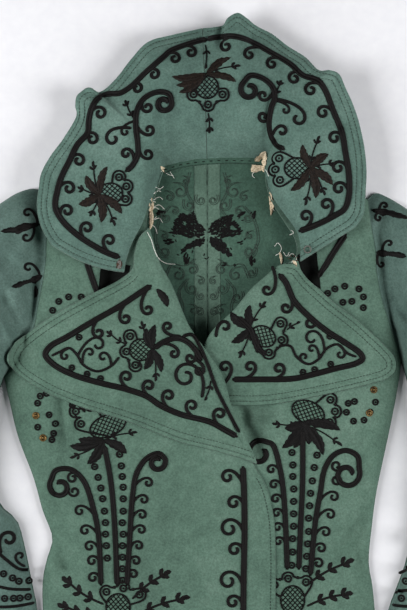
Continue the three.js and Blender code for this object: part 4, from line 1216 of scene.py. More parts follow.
# %% Wide braids
cloths = {"collar_right": Cloth(collar_right), "collar_left": Cloth(collar_left),
          "collar": Cloth(collar_right, collar_left),
          "rever_right": Cloth(rever_right), "rever_left": Cloth(rever_left),
          "front_right": Cloth(front_right), "front_left": Cloth(front_left),
          "sleeve_right": Cloth(sleeves["right"][0]), "sleeve_left": Cloth(sleeves["left"][0])}
BORDER = dict(width=7.0, height=2.0)   # two rows of braid side by side, in millimetres
SCROLL = dict(width=6.6, height=2.3)
STEM = dict(width=6.4, height=1.9)
A_DENSE_ROUTE = 40   # a coil comes with more points than this and needs no more
wide = [
    ("collar_border_right", "collar", RIGHT_COLLAR_BRAID, BORDER, "collar_braid_right"),
    ("collar_border_left", "collar", LEFT_COLLAR_BRAID, BORDER, "collar_braid_left"),
    ("rever_border_right", "rever_right", RIGHT_REVER_BRAID, BORDER, "rever_braid_right"),
    ("rever_border_left", "rever_left", LEFT_REVER_BRAID, BORDER, "rever_braid_left"),
    ("closing_edge_braid", "front_right", EDGE_BRAID, BORDER, "edge_braid"),
    ("collar_s_scroll_right", "collar_right", volute(RIGHT_COLLAR_SCROLL, 1, (-44, 223), -1), SCROLL,
     "collar_scroll_right"),
    ("collar_s_scroll_left", "collar_left", volute(LEFT_COLLAR_SCROLL, 1, (51, 238), 1), SCROLL,
     "collar_scroll_left"),
    ("rever_thick_stem_right", "rever_right", RIGHT_REVER_STEM, SCROLL, "rever_stem_right"),
    ("rever_thick_stem_left", "rever_left", LEFT_REVER_STEM, SCROLL, "rever_stem_left"),
    ("shoulder_line_right", "front_right", RIGHT_SHOULDER_BRAID, BORDER, "shoulder_braid_right"),
    ("shoulder_line_left", "front_left", LEFT_SHOULDER_BRAID, BORDER, "shoulder_braid_left")]
stems = {key: routed(rows) for key, rows in FRONT_STEMS.items()}
stems["right_outer"] = volute(FRONT_STEMS["right_outer"], 1, (-161, -204), 1)
stems["right_inner"] = volute(FRONT_STEMS["right_inner"], 1, (-52, -176), -1)
stems["left_outer"] = volute(FRONT_STEMS["left_outer"], 1, (161, -190), -1, 1.1)
stems["left_inner"] = volute([(70, -153), (77, -156), *FRONT_STEMS["left_inner"][1:]], 0, (63, -166), 1)
for key, route in stems.items():
    wide.append(("stem_" + key, "front_" + key.split("_")[0], route, STEM, "front_stem_" + key))
for name, on, rows, kind, node_name in wide:
    route = rows if len(rows) > A_DENSE_ROUTE else routed(rows)
    Trim(cloths[on]).braid(route, **kind).made(name, BRAID, replaces=[node_name])

# %% [markdown]
# ## The small ornament
#
# The rest of the braid is drawn freehand on the cloth and couched down: hooks that spring from a
# border and coil inward, rings with a knot in them, sprigs, serrated leaves in satin stitch, and a
# netted fruit with a scalloped crown. Each is one function, so that a table of places is enough.

# %% Routes of hooks, rings and fruit
def circle(centre, radius, sides=26):
    """A closed round route."""
    angle = np.linspace(0, 2 * math.pi, sides + 1)
    return np.array(centre, float) + radius * np.column_stack([np.cos(angle), np.sin(angle)])


def hook(border, centre, radius, turn, lean=0.65):
    """A coil that springs from the nearest place on a border and leans along it."""
    centre = np.array(centre, float)
    away = border[np.argmin(np.linalg.norm(border - centre, axis=1))] - centre
    angle = math.atan2(away[1], away[0]) - turn * lean
    start = centre + np.hypot(*away) / math.cos(lean) * np.array([math.cos(angle), math.sin(angle)])
    return curl(centre, radius, start, turn)


def turned_by(vector, degrees):
    """A plan vector turned anticlockwise."""
    angle = math.radians(degrees)
    return np.array([vector[0] * math.cos(angle) - vector[1] * math.sin(angle),
                     vector[0] * math.sin(angle) + vector[1] * math.cos(angle)])


print("a ring of 3 mm is swept through", len(circle((0, 0), 3)), "points")

# %% [markdown]
# A knot is a few turns of thread pulled tight. A low dome of three rings is enough at its size, about
# 2.6 mm across, and it catches one small highlight as the real one does.

# %% Knots
HOOK_BRAID = dict(width=3.9, height=1.4)
FINE_BRAID = dict(width=3.1, height=1.2)
RING_BRAID = dict(width=2.4, height=1.1, step=1.1, closed=True)
KNOT = 1.3, 1.3    # radius and height of the knot in a ring, in millimetres


def closed_relief(top, base_z):
    """Points and faces of a low relief: its upper grid, and its foot at the same plan points."""
    rows, columns = top.shape[:2]
    count = rows * columns
    foot = top.copy()
    foot[..., 2] = base_z
    rim = rim_of(rows, columns)
    after = np.roll(rim, -1)
    faces = np.vstack([grid_faces(rows, columns), grid_faces(rows, columns, count)[:, ::-1],
                       np.column_stack([after, rim, rim + count, after + count])])
    return np.vstack([top.reshape(-1, 3), foot.reshape(-1, 3)]), faces


def knot(trim, centre, radius, height):
    """A small sewn knot or bead, a dome of three rings."""
    ground = float(trim.cloth.height(*centre))
    if not math.isfinite(ground):
        return
    angle = np.linspace(0, 2 * math.pi, 9)[:-1]
    points, faces = [], []
    for level, (spread, rise) in enumerate(((1, -SUNK), (0.95, 0.45 * height), (0.55, 0.9 * height))):
        ring = np.column_stack([np.cos(angle), np.sin(angle)]) * radius * spread + centre
        points.append(np.column_stack([ring, np.full(8, ground + rise)]))
        if level:
            low, high = (level - 1) * 8 + np.arange(8), level * 8 + np.arange(8)
            faces.append(np.column_stack([low, np.roll(low, -1), np.roll(high, -1), high]))
    points.append([[centre[0], centre[1], ground + height], [centre[0], centre[1], ground - SUNK]])
    last, first = 16 + np.arange(8), np.arange(8)
    faces.append(np.column_stack([last, np.roll(last, -1), np.full(8, 24), np.full(8, 24)]))
    faces.append(np.column_stack([np.roll(first, -1), first, np.full(8, 25), np.full(8, 25)]))
    points = np.vstack(points)
    trim.add(points, np.vstack(faces), points[:, :2])


# %% [markdown]
# A satin-stitch leaf could be a flat cut-out with a bump on it. Real ones are padded, so these are low
# reliefs: an arched section, a vein pressed in, slanting ridges of thread and a toothed edge.

# %% Leaves and sprigs
PLUMP = 1.18          # leaves are wider than their drawn width once they are padded
THREAD_RIDGE = 2.4    # millimetres from ridge to ridge: about three usual threads drawn as one


def leaf(trim, base, tip, width, teeth=5, height=1.5, bend=0.08):
    """A satin-stitch leaf: threads slant out from a vein to a toothed edge."""
    base, tip = np.array(base, float), np.array(tip, float)
    way = tip - base
    length = np.hypot(*way)
    way /= length
    side = np.array([-way[1], way[0]])
    t = np.linspace(0, 1, max(13, round(length / 1.0)))
    s = np.linspace(-1, 1, 9)
    tooth = 0.2 * np.abs(np.sin(math.pi * (t * teeth + 0.15)))
    half = PLUMP * width / 2 * np.sin(math.pi * np.clip(t, 0.01, 0.985) ** 0.8) ** 0.75 * (0.85 + tooth)
    centre = base + t[:, None] * length * way + (bend * length * np.sin(math.pi * t))[:, None] * side
    slant = 0.12 * length * np.abs(s)[None] * np.sin(math.pi * t)[:, None]
    xy = centre[:, None] + s[None, :, None] * half[:, None, None] * side + slant[..., None] * way
    spine = trim.cloth.height(*centre.T)
    if not np.isfinite(spine).any():
        return
    edge = [trim.cloth.height(*(centre + k * half[:, None] * side).T) for k in (-1, 1)]
    fill = float(np.nanmedian(np.where(np.isfinite(spine), spine, np.nan)))
    spine = np.where(np.isfinite(spine), spine, fill)
    low, high = (np.where(np.isfinite(e), e, spine) for e in edge)
    ground = np.where(s[None] < 0, mix(spine[:, None], low[:, None], -s[None]),
                      mix(spine[:, None], high[:, None], s[None]))
    arch = np.sqrt(np.clip(1 - s**2, 0, 1))[None] * np.minimum(1, half / (0.2 * width))[:, None]
    threads = 0.16 * np.sin(2 * math.pi * (t[:, None] * length / THREAD_RIDGE - 0.9 * np.abs(s)[None]))
    vein = 0.5 * hump(s, 0, 0.16)[None]
    z = ground + height * arch * (1 + threads - vein)
    points, faces = closed_relief(np.dstack([xy, z]), ground - SUNK)
    uv = np.column_stack([np.tile(np.repeat(t * length, len(s)), 2), np.tile(np.tile(s * 3, len(t)), 2)])
    trim.add(points, faces, uv)


def sprig(trim, base, tip, pairs=2, bend=0.06, leaf_size=(6.2, 2.6), twig_width=1.7):
    """A twig with leaflets in pairs and one at its end."""
    base, tip = np.array(base, float), np.array(tip, float)
    way = tip - base
    side = np.array([-way[1], way[0]])
    t = np.linspace(0, 1, 20)[:, None]
    twig = base + t * way + bend * np.sin(math.pi * t) * side
    trim.braid(twig, width=twig_width, height=0.9)
    unit = way / np.hypot(*way)
    for k in range(pairs):
        foot = twig[int(19 * (0.3 + 0.5 * k / max(1, pairs - 1)))]
        for turn in (-42, 42):
            leaf(trim, foot, foot + turned_by(unit, turn) * leaf_size[0], leaf_size[1], teeth=2, height=0.9)
    leaf(trim, twig[-4], tip + unit * 2.5, leaf_size[1] * 1.1, teeth=2, height=0.9)


# %% [markdown]
# The pomegranate is an oval net of fine cord with a scalloped crown round small rings. The net could be a
# texture, but real cords lie over one another and catch the light, so each one is swept here too.

# %% The netted fruit
NET_CORD = dict(width=1.1, height=0.75)
NET_SLANT = 0.74, 0.68    # how far a cord runs along the fruit and across it for each millimetre
NET_REACH = 24            # half the length of a cord before the oval cuts it


def fruit(trim, centre, node, rings, half_long=14, half_wide=11.5, mesh_size=5.6):
    """A pomegranate: a net in an oval, its stalk at the node, its crown scalloped round the rings."""
    centre, node = np.array(centre, float), np.array(node, float)
    axis = (centre - node) / np.hypot(*(centre - node))
    cross = np.array([-axis[1], axis[0]])
    angle = np.linspace(0, 2 * math.pi, 45)
    oval = centre + np.cos(angle)[:, None] * half_long * axis + np.sin(angle)[:, None] * half_wide * cross
    trim.braid(oval, width=2.0, height=1.2, closed=True)
    for lean in (-1, 1):
        for k in range(-3, 4):
            shift = k * mesh_size
            t = np.linspace(-NET_REACH, NET_REACH, 97)
            along = t * NET_SLANT[0] + 0.5 * shift
            aside = lean * t * NET_SLANT[1] - 0.5 * lean * shift
            inside = (along / half_long) ** 2 + (aside / half_wide) ** 2 < 0.97
            if inside.sum() > 6:
                cord = centre + along[inside, None] * axis + aside[inside, None] * cross
                trim.braid(cord, **NET_CORD)
    axes = np.column_stack([cross, axis])
    order = sorted(rings, key=lambda ring: math.atan2(*((np.array(ring) - centre) @ axes)))
    scallop = [centre + half_wide * 0.95 * -cross + 3 * axis]
    for ring in order:
        out = np.array(ring, float) - centre
        out /= np.hypot(*out)
        scallop += [np.array(ring) + turned_by(out, a) * 7.2 for a in (-85, -45, 0, 45, 85)]
        trim.braid(circle(ring, 3.5), **RING_BRAID)
        knot(trim, ring, *KNOT)
    scallop.append(centre + half_wide * 0.95 * cross + 3 * axis)
    trim.braid(routed(np.array(scallop)), width=2.4, height=1.3)
    for k in range(1, len(order)):
        between = (np.array(order[k - 1]) + np.array(order[k])) / 2
        out = (between - centre) / np.hypot(*(between - centre))
        knot(trim, between + out * 3.2, 2.0, 1.6)


# %% [markdown]
# The same motifs repeat all over the jacket, so each has a function that takes a list of places. A panel's
# ornament is then one short cell, and its meshes are joined: one for the braid and one for the leaves.

# %% Motifs set out in rows
def hooks(trim, border, places, radius, turn, braid=HOOK_BRAID):
    """Hooks along a border, each at its place."""
    for spot in places:
        trim.braid(hook(border, spot, radius, turn), **braid)


def rings(trim, places, radius=3.1):
    """Small rings with a knot in each."""
    for spot in places:
        trim.braid(circle(spot, radius), **RING_BRAID)
        knot(trim, spot, *KNOT)


def curls(trim, braid, *rows):
    """Single coils: each row gives a centre, a radius, the start and the turn."""
    for centre, radius, start, turn in rows:
        trim.braid(curl(centre, radius, start, turn, turns=1.1), **braid)


def lines(trim, looks, *rows):
    """Braid laid along each list of guide points."""
    for points in rows:
        trim.braid(routed(points), **looks)


def sprigs(trim, base, tips, pairs=2):
    """Twigs that spread from one place."""
    for tip in tips:
        sprig(trim, base, tip, pairs)


def satin(name, cloth, material, *clusters):
    """Satin-stitch leaves: each cluster gives a base, a width and the tips."""
    leaves = Trim(cloth)
    for base, width, tips in clusters:
        for tip in tips:
            leaf(leaves, base, tip, width)
    leaves.made(name, material)


# %% [markdown]
# Satin stitch is laid in floss side by side, so a leaf is less black than the braid: it has a brown
# cast where its threads catch the light. The large leaves are meshes of their own for that reason.

# %% Brown-black silk floss
# Brown where it has faded on the collar, and black with a faint silk gleam elsewhere.
FLOSS = soutache("brown_black_silk_floss", "#0b0806", "#241b15", "#7a6857")
SILK = soutache("black_silk_floss", "#040404", "#0d0b0a", "#4f4945")
print("flosses:", FLOSS.name, "and", SILK.name)

# %% [markdown]
# On the collar, hooks line the border and the S scroll, and one fruit with its leaves fills each half. They
# are placed one by one from the photograph, since hand work never repeats exactly.

# %% Ornament of the collar's right half
border_right, border_left = routed(RIGHT_COLLAR_BRAID), routed(LEFT_COLLAR_BRAID)
trim = Trim(cloths["collar_right"])
hooks(trim, border_right, [(-115, 213), (-124, 185), (-139, 161), (-150, 130), (-152, 105), (-130, 86),
                           (-105, 72)], 7.4, -1)
hooks(trim, border_right, [(-55, 256), (-74, 241), (-32, 274), (-14, 281)], 6.3, -1)
hooks(trim, routed(RIGHT_COLLAR_SCROLL), [(-62, 219), (-60, 194), (-62, 168), (-86, 168)], 6.3, 1)
curls(trim, HOOK_BRAID, ((-101, 185), 9, (-80, 196), 1))
curls(trim, FINE_BRAID, ((-87, 192), 5, (-76, 204), 1))
sprigs(trim, (-76, 205), [(-86, 226)])
fruit(trim, (-104, 124), (-116, 123), [(-86, 132), (-87, 118), (-94, 142)])
sprigs(trim, (-116, 123), [(-122, 158), (-138, 131), (-126, 101), (-100, 90)])
trim.made("collar_ornament_right", BRAID)
satin("collar_leaves_right", cloths["collar_right"], FLOSS,
      ((-116, 123), 8.6, [(-131, 144), (-139, 112), (-114, 92), (-91, 102), (-107, 154)]))

# %% Ornament of the collar's left half
trim = Trim(cloths["collar_left"])
hooks(trim, border_left, [(25, 287), (51, 278), (76, 268)], 6.3, 1)
hooks(trim, border_left, [(101, 252), (119, 239), (133, 214), (146, 186), (150, 153), (151, 130), (137, 112),
                          (114, 99)], 7.4, 1)
hooks(trim, routed(LEFT_COLLAR_SCROLL), [(66, 232), (66, 209)], 6.0, -1)
curls(trim, HOOK_BRAID, ((87, 193), 6.5, (76, 188), -1), ((105, 207), 9.5, (80, 228), -1))
curls(trim, FINE_BRAID, ((91, 216), 5, (80, 226), -1))
sprigs(trim, (80, 229), [(86, 247)])
fruit(trim, (104, 152), (119, 152), [(84, 163), (80, 151), (85, 139)])
sprigs(trim, (119, 152), [(129, 186), (145, 157), (113, 113), (134, 124)])
trim.made("collar_ornament_left", BRAID)
satin("collar_leaves_left", cloths["collar_left"], FLOSS,
      ((119, 152), 8.6, [(139, 168), (144, 134), (125, 119), (97, 127), (110, 178)]))

# %% Ornament of the collar's centre back
trim = Trim(cloths["collar"])
fruit(trim, (4, 241), (3, 256), [(-11, 233), (5, 222), (21, 233)], half_long=12.5, half_wide=12.5)
sprigs(trim, (3, 256), [(39, 264)])
sprigs(trim, (5, 213), [(6, 194)])
sprigs(trim, (2, 290), [(2, 264)], pairs=1)
trim.made("collar_ornament_back", BRAID)
satin("collar_leaves_back", cloths["collar"], FLOSS,
      ((3, 256), 7.6, [(30, 274), (-35, 253), (36, 247), (-27, 235), (-30, 243)]))

# %% [markdown]
# A rever carries the same motifs in a triangle: hooks along two sides, a fruit in the middle, and a thin
# braid that waves out into the point between small coils.

# %% Ornament of the right rever
edge = routed(RIGHT_REVER_BRAID)
trim = Trim(cloths["rever_right"])
hooks(trim, edge, [(-62, -5), (-87, -15), (-117, -31)], 6.5, 1)
hooks(trim, edge, [(-86, -80), (-61, -90), (-39, -101), (-13, -112), (18, -121)], 7.2, -1)
trim.braid(curl((-20, -79), 16, (-2, -103), 1, turns=1.45, inner=0.22), **HOOK_BRAID)
hooks(trim, routed(RIGHT_REVER_STEM), [(-40, -24), (-33, -54), (-15, -59), (-5, -73)], 5.8, -1)
lines(trim, dict(width=4.2, height=1.9),
      [(-24, -35), (-13, -33), (-4, -46), (5, -67), (14, -92), (26, -116), (40, -142)])
lines(trim, FINE_BRAID, [(-170, -57), (-160, -52), (-150, -48), (-141, -56), (-135, -66), (-119, -74),
                         (-103, -68), (-94, -58)])
curls(trim, FINE_BRAID, ((-118, -44), 9, (-141, -58), -1), ((-127, -53), 5.5, (-135, -66), -1),
      ((-155, -57), 5, (-150, -48), 1), ((-112, -58), 6, (-103, -68), 1))
rings(trim, [(-139, -36), (-147, -70), (-130, -77), (-115, -82)], 2.8)
fruit(trim, (-70, -50), (-57, -49), [(-82, -35), (-86, -52), (-76, -67)], half_long=12.5, half_wide=12)
sprigs(trim, (-57, -49), [(-68, -20), (-54, -83)])
sprigs(trim, (-86, -44), [(-106, -30)])
sprigs(trim, (8, -84), [(2, -104)], pairs=1)
trim.made("rever_ornament_right", BRAID)
satin("rever_leaves_right", cloths["rever_right"], SILK,
      ((-57, -49), 8.0, [(-54, -22), (-47, -75), (-66, -72), (-64, -26)]), ((-52, 18), 8.0, [(-40, -2)]))

# %% Ornament of the left rever
edge = routed(LEFT_REVER_BRAID)
trim = Trim(cloths["rever_left"])
hooks(trim, edge, [(71, 17), (92, -3), (119, -20)], 6.3, -1)
hooks(trim, edge, [(52, -69), (84, -71), (24, -69)], 7.0, 1)
curls(trim, HOOK_BRAID, ((24, -24), 7, (14, -36), -1))
lines(trim, FINE_BRAID, [(84, -45), (97, -46), (104, -58), (117, -66), (129, -60), (137, -49), (150, -44),
                         (161, -54), (171, -58)])
curls(trim, FINE_BRAID, ((121, -37), 10, (135, -54), 1), ((121, -49), 5, (129, -60), 1),
      ((153, -55), 5.5, (150, -44), -1), ((112, -58), 5, (117, -66), -1))
rings(trim, [(141, -35), (142, -66), (124, -72), (111, -75)], 2.8)
fruit(trim, (67, -35), (52, -26), [(86, -21), (87, -39), (73, -53)], half_long=14, half_wide=11)
sprigs(trim, (52, -26), [(69, 2), (40, -57)])
sprigs(trim, (93, -28), [(106, -20)], pairs=1)
trim.made("rever_ornament_left", BRAID)
satin("rever_leaves_left", cloths["rever_left"], SILK,
      ((52, -26), 8.0, [(52, 0), (31, -42), (60, -54)]), ((50, -26), 9.0, [(30, -8)]))

# %% [markdown]
# Down each front, hooks line the outer stems and rings run between them. A fruit sits at the bust and
# another at the waist, with thicker sprigs. The rings near the armhole were sewn in clusters.

# %% Ornament of the right front
BOLD_SPRIG = dict(pairs=3, leaf_size=(10, 4.6), twig_width=2.8)
trim = Trim(cloths["front_right"])
hooks(trim, stems["right_outer"], [(-147, -194), (-145, -209), (-139, -231), (-133, -253), (-128, -271),
                                   (-125, -287), (-124, -306)], 6.2, 1, FINE_BRAID)
hooks(trim, stems["right_inner"], [(-62, -199), (-67, -218), (-69, -235), (-70, -252), (-73, -270),
                                   (-76, -287), (-79, -302)], 5.7, -1, FINE_BRAID)
rings(trim, [(-122, -181), (-118, -193), (-115, -205), (-113, -217), (-111, -231), (-110, -244),
             (-110, -257), (-109, -270), (-108, -284)])
rings(trim, [(-94, -167), (-92, -180), (-91, -192), (-90, -204), (-90, -217), (-90, -231), (-91, -244),
             (-90, -257), (-91, -270), (-91, -283), (-91, -296), (-91, -309)])
fruit(trim, (-107, -135), (-87, -127), [(-137, -133), (-143, -119), (-127, -115)], half_long=21, half_wide=12)
sprigs(trim, (-111, -151), [(-76, -143), (-148, -170)])
closing = routed(EDGE_BRAID)
hooks(trim, closing, [(27, -192), (34, -221), (35, -274), (33, -333), (35, -392), (34, -450)], 8.0, 1)
hooks(trim, closing, [(29, -250), (28, -309), (28, -367), (28, -425)], 11.5, 1)
fruit(trim, (-96, -339), (-97, -358), [(-109, -322), (-90, -318), (-72, -325)], half_long=15, half_wide=13.5)
for base, tip in (((-112, -336), (-157, -306)), ((-80, -330), (-38, -300)), ((-112, -348), (-162, -336)),
                  ((-78, -350), (-17, -329))):
    sprig(trim, base, tip, **BOLD_SPRIG)
rings(trim, [(-169, -6), (-162, 4), (-151, 9), (-137, 9), (-183, -102), (-176, -99), (-186, -110),
             (-173, -123), (-166, -133), (-186, -137), (-170, -151), (-168, -144), (-147, -112)], 2.9)
trim.made("front_ornament_right", BRAID)
satin("front_leaves_right", cloths["front_right"], SILK,
      ((-111, -151), 9.5, [(-150, -158), (-130, -178), (-86, -166), (-140, -150)]),
      ((-97, -352), 9.5, [(-60, -372), (-96, -392), (-130, -374)]))

# %% Ornament of the left front
trim = Trim(cloths["front_left"])
hooks(trim, stems["left_outer"], [(149, -180), (149, -196), (146, -215), (142, -235), (137, -255),
                                  (132, -273), (129, -290)], 6.2, -1, FINE_BRAID)
hooks(trim, stems["left_inner"], [(76, -184), (79, -201), (81, -217), (82, -233), (83, -249), (84, -265)],
      5.4, 1, FINE_BRAID)
rings(trim, [(99, -165), (100, -179), (100, -192), (101, -206), (101, -220), (101, -234), (101, -248),
             (100, -262), (100, -277), (99, -292)])
rings(trim, [(127, -168), (124, -182), (122, -197), (120, -211), (119, -225), (118, -239), (118, -254),
             (117, -268), (116, -282), (115, -296)])
fruit(trim, (117, -120), (97, -111), [(142, -106), (147, -119), (141, -131)], half_long=19, half_wide=12.5)
sprigs(trim, (110, -133), [(79, -132), (153, -157)])
fruit(trim, (100, -331), (100, -352), [(80, -314), (95, -307), (115, -311)], half_long=16, half_wide=13.5)
for base, tip in (((114, -316), (168, -288)), ((116, -338), (166, -325))):
    sprig(trim, base, tip, **BOLD_SPRIG)
rings(trim, [(139, 13), (147, 18), (158, 21), (174, 18), (179, 9), (166, 4), (156, 3), (179, -3), (193, -109),
             (187, -120), (168, -130), (180, -129), (160, -120), (162, -110), (169, -108), (191, -95)], 2.9)
trim.made("front_ornament_left", BRAID)
satin("front_leaves_left", cloths["front_left"], SILK,
      ((111, -131), 9.5, [(88, -160), (101, -160), (134, -168), (153, -140), (118, -156), (91, -138)]),
      ((100, -344), 10, [(140, -366), (120, -384), (100, -388), (82, -382), (66, -368)]))

# %% [markdown]
# The sleeve heads carry two padded leaves with coils, which look like buds on a shoulder strap. Toward the
# elbow bands of braid and rings cross the sleeve, and the photograph cuts through them.

# %% Ornament of the sleeves
SLEEVE_BAND = dict(width=3.6, height=1.7)
SLEEVE_COIL = dict(width=4.2, height=1.8)
BUD = dict(height=2.4, bend=0.02)
trim = Trim(cloths["sleeve_right"])
leaf(trim, (-184, 91), (-226, 82), 9.5, **BUD)
leaf(trim, (-181, 33), (-214, 20), 9.5, **BUD)
curls(trim, FINE_BRAID, ((-197, 103), 5.5, (-186, 91), 1), ((-198, 76), 5.5, (-190, 90), -1),
      ((-196, 42), 5.5, (-184, 33), 1))
leaf(trim, (-189, 22), (-190, 8), 4)
trim.braid(curl((-218, -262), 9.5, (-226, -278), -1, turns=1.2), **SLEEVE_COIL)
lines(trim, SLEEVE_BAND, [(-262, -262), (-240, -268), (-222, -284), (-207, -296), (-196, -298)],
      [(-268, -300), (-240, -312), (-218, -318), (-194, -320)],
      [(-270, -332), (-240, -338), (-212, -338), (-190, -335)])
curls(trim, FINE_BRAID, ((-206, -282), 5.5, (-200, -294), -1))
rings(trim, [(-236, -291), (-224, -301), (-214, -306), (-207, -310), (-196, -310), (-248, -322),
             (-236, -327), (-223, -329), (-213, -329), (-206, -329), (-197, -328)])
trim.made("sleeve_ornament_right", BRAID)
trim = Trim(cloths["sleeve_left"])
leaf(trim, (189, 107), (230, 97), 8.5, **BUD)
leaf(trim, (194, 59), (226, 54), 10.5, **BUD)
curls(trim, FINE_BRAID, ((204, 112), 4.0, (198, 106), -1), ((197, 98), 4.0, (199, 106), 1),
      ((208, 69), 4.0, (201, 60), -1), ((200, 46), 4.0, (196, 58), 1))
trim.braid(curl((238, -262), 9.5, (246, -278), 1, turns=1.2), **SLEEVE_COIL)
lines(trim, SLEEVE_BAND, [(282, -262), (260, -268), (242, -284), (227, -296), (218, -300)],
      [(288, -300), (260, -312), (238, -318), (214, -322)],
      [(290, -332), (260, -338), (232, -338), (212, -337)])
rings(trim, [(256, -291), (244, -301), (234, -306), (227, -310), (268, -322), (256, -327), (243, -329),
             (233, -329), (222, -329)])
trim.made("sleeve_ornament_left", BRAID)

# %% [markdown]
# ## Inside the neck
#
# Through the open neck the wrong side of the back shows. Its centre seam is pressed open, and the back
# of the embroidery comes through as black floats and as faint quilted coils where the outside is
# couched. A bias strip covers the neck seam, and the interfacing has frayed out beside it.

# %% Strips laid on the back
def strip_grid(route, width, height, cell=3.0, ripple=0.15, seed=5):
    """A narrow strip along a route, with a low crown and an uneven edge."""
    path = resampled(np.asarray(route, float), cell)
    side = leftward(np.gradient(path, axis=0))
    s = np.linspace(-1, 1, 7)
    draw = np.random.default_rng(seed)
    fray = 1 + ripple * draw.uniform(-1, 1, (len(path), 1)) * (np.abs(s) > 0.9)[None]
    xy = path[:, None] + side[:, None] * (s[None] * fray * width / 2)[..., None]
    z = height + 0.25 * (1 - s**4)[None] + 0.12 * wander(xy[..., 0], xy[..., 1], 26, seed)
    return np.dstack([xy, z])


ALLOWANCE = 14   # width of one pressed seam allowance, in millimetres
NECK_STRIP = 12   # width of the bias strip over the neck seam
ON_BACK = BACK_CLOTH + 0.05   # height where a strip rests on the back
strips = []
for side, sign in (("right", -1), ("left", 1)):
    route = plan(CENTRE_BACK)[:2] + [sign * (ALLOWANCE / 2 + 0.4), -3]
    grid = strip_grid(line(*route)(np.linspace(0, 1, 60)), ALLOWANCE, BACK_CLOTH + 0.75, ripple=0.07)
    panel(side + "_seam_allowance", grid, 0.8, ON_BACK, SEAM_WOOL)
    strips.append(grid)
neck_line = curve(BACK_NECK)(np.linspace(0, 1, 60))
neck_grid = strip_grid(neck_line + [0, 1.5], NECK_STRIP, 3.3, ripple=0.03, seed=8)
panel("neck_seam_strip", neck_grid, 1.2, ON_BACK, INSIDE_WOOL_PAINTED_SHADE)

# %% [markdown]
# Where the outside of the back is embroidered, short floats of black thread show on its wrong side. They
# could be painted on the wool. They lie on it and shade it, so each is a thin swept thread instead, laid
# at random over a shape of the pattern and drawn about twice as wide as usual.

# %% The wrong side of the back's embroidery
inside_back = Cloth(back_right, back_left, *strips)
draw = np.random.default_rng(77)


def within(outline, spots):
    """Which spots lie inside a closed outline, by counting the sides each ray crosses."""
    corners = np.asarray(outline, float)
    ahead = np.roll(corners, -1, axis=0)
    x, y = spots[:, 0, None], spots[:, 1, None]
    spans = (corners[:, 1] > y) != (ahead[:, 1] > y)
    rise = np.where(ahead[:, 1] == corners[:, 1], 1e-9, ahead[:, 1] - corners[:, 1])
    meets = corners[:, 0] + (y - corners[:, 1]) / rise * (ahead[:, 0] - corners[:, 0])
    return (spans & (x < meets)).sum(axis=1) % 2 == 1


def floats(trim, outline, along, holes=(), pitch=2.1, length=5.0):
    """Short floats of black thread laid side by side over one shape of the pattern."""
    corners = np.asarray(outline, float)
    low, high = corners.min(axis=0), corners.max(axis=0)
    columns, rows = (np.arange(low[k], high[k], pitch) for k in (0, 1))
    spots = np.array([(x, y) for x in columns for y in rows])
    spots = spots + draw.uniform(-0.8, 0.8, spots.shape)
    keep = within(corners, spots)
    for (hx, hy), radius in holes:
        keep &= np.hypot(spots[:, 0] - hx, spots[:, 1] - hy) > radius
    for spot in spots[keep]:
        lean = math.radians(along + draw.normal(0, 14))
        half = np.array([math.cos(lean), math.sin(lean)]) * length * draw.uniform(0.35, 0.6)
        trim.braid(np.array([spot - half, spot, spot + half]), width=draw.uniform(1.9, 2.7),
                   height=draw.uniform(0.5, 0.9), step=1.6)


# %% [markdown]
# The shapes of the pattern are read from the photograph: two leaves in the middle, two below them and a
# few dots. Each has the angle of its thread in degrees, and round gaps where the cloth shows.

# %% Floats over the shapes of the pattern
FLOAT_SHAPES = (
    ([(-37, 81), (-33, 92), (-26, 104), (-17, 101), (-12, 106), (-9, 97), (3, 84), (-4, 76), (-14, 76)],
     -28, [((-21, 92), 2.2), ((-11, 83), 1.4)]),
    ([(7, 80), (8, 90), (18, 98), (33, 102), (30, 95), (37, 94), (45, 81), (34, 78), (21, 76)],
     25, [((33, 87), 3.2), ((24, 90), 1.6)]),
    ([(4, 78), (-2, 68), (-14, 65), (-27, 57), (-22, 66), (-10, 73)], 32, []),
    ([(6, 74), (9, 66), (20, 60), (27, 56), (33, 56), (29, 63), (22, 72), (14, 77)], -52, []),
    ([(-52, 106), (-46, 108), (-45, 103), (-51, 102)], 0, []),
    ([(38, 102), (45, 106), (47, 104), (40, 100)], 30, []),
    ([(54, 100), (58, 106), (60, 104), (57, 98)], 60, []),
    ([(-46, 72), (-38, 75), (-33, 71), (-40, 68)], 10, []),
    ([(-21, 60), (-15, 52), (-19, 45), (-23, 50)], 80, []),
    ([(38, 70), (43, 72), (44, 67)], 20, []),
    ([(54, 56), (58, 50), (55, 44), (51, 50)], 80, []),
    ([(20, 46), (24, 48), (25, 43)], 0, []))
STRAY_STITCHES = 34
trim = Trim(inside_back)
for outline, along, holes in FLOAT_SHAPES:
    floats(trim, outline, along, holes)
for _ in range(STRAY_STITCHES):
    spot = np.array([draw.uniform(-52, 60), draw.uniform(40, 110)])
    lean = draw.uniform(0, math.pi)
    half = np.array([math.cos(lean), math.sin(lean)]) * 1.8
    trim.braid(np.array([spot - half, spot, spot + half]), width=1.4, height=0.6, step=1.6)
trim.made("back_embroidery_floats", SILK)

# %% [markdown]
# The outside is couched in green silk, and the wrong side shows it as faint double lines, coils and
# stems that mirror one another about the centre seam. Fine low cords give just enough relief.

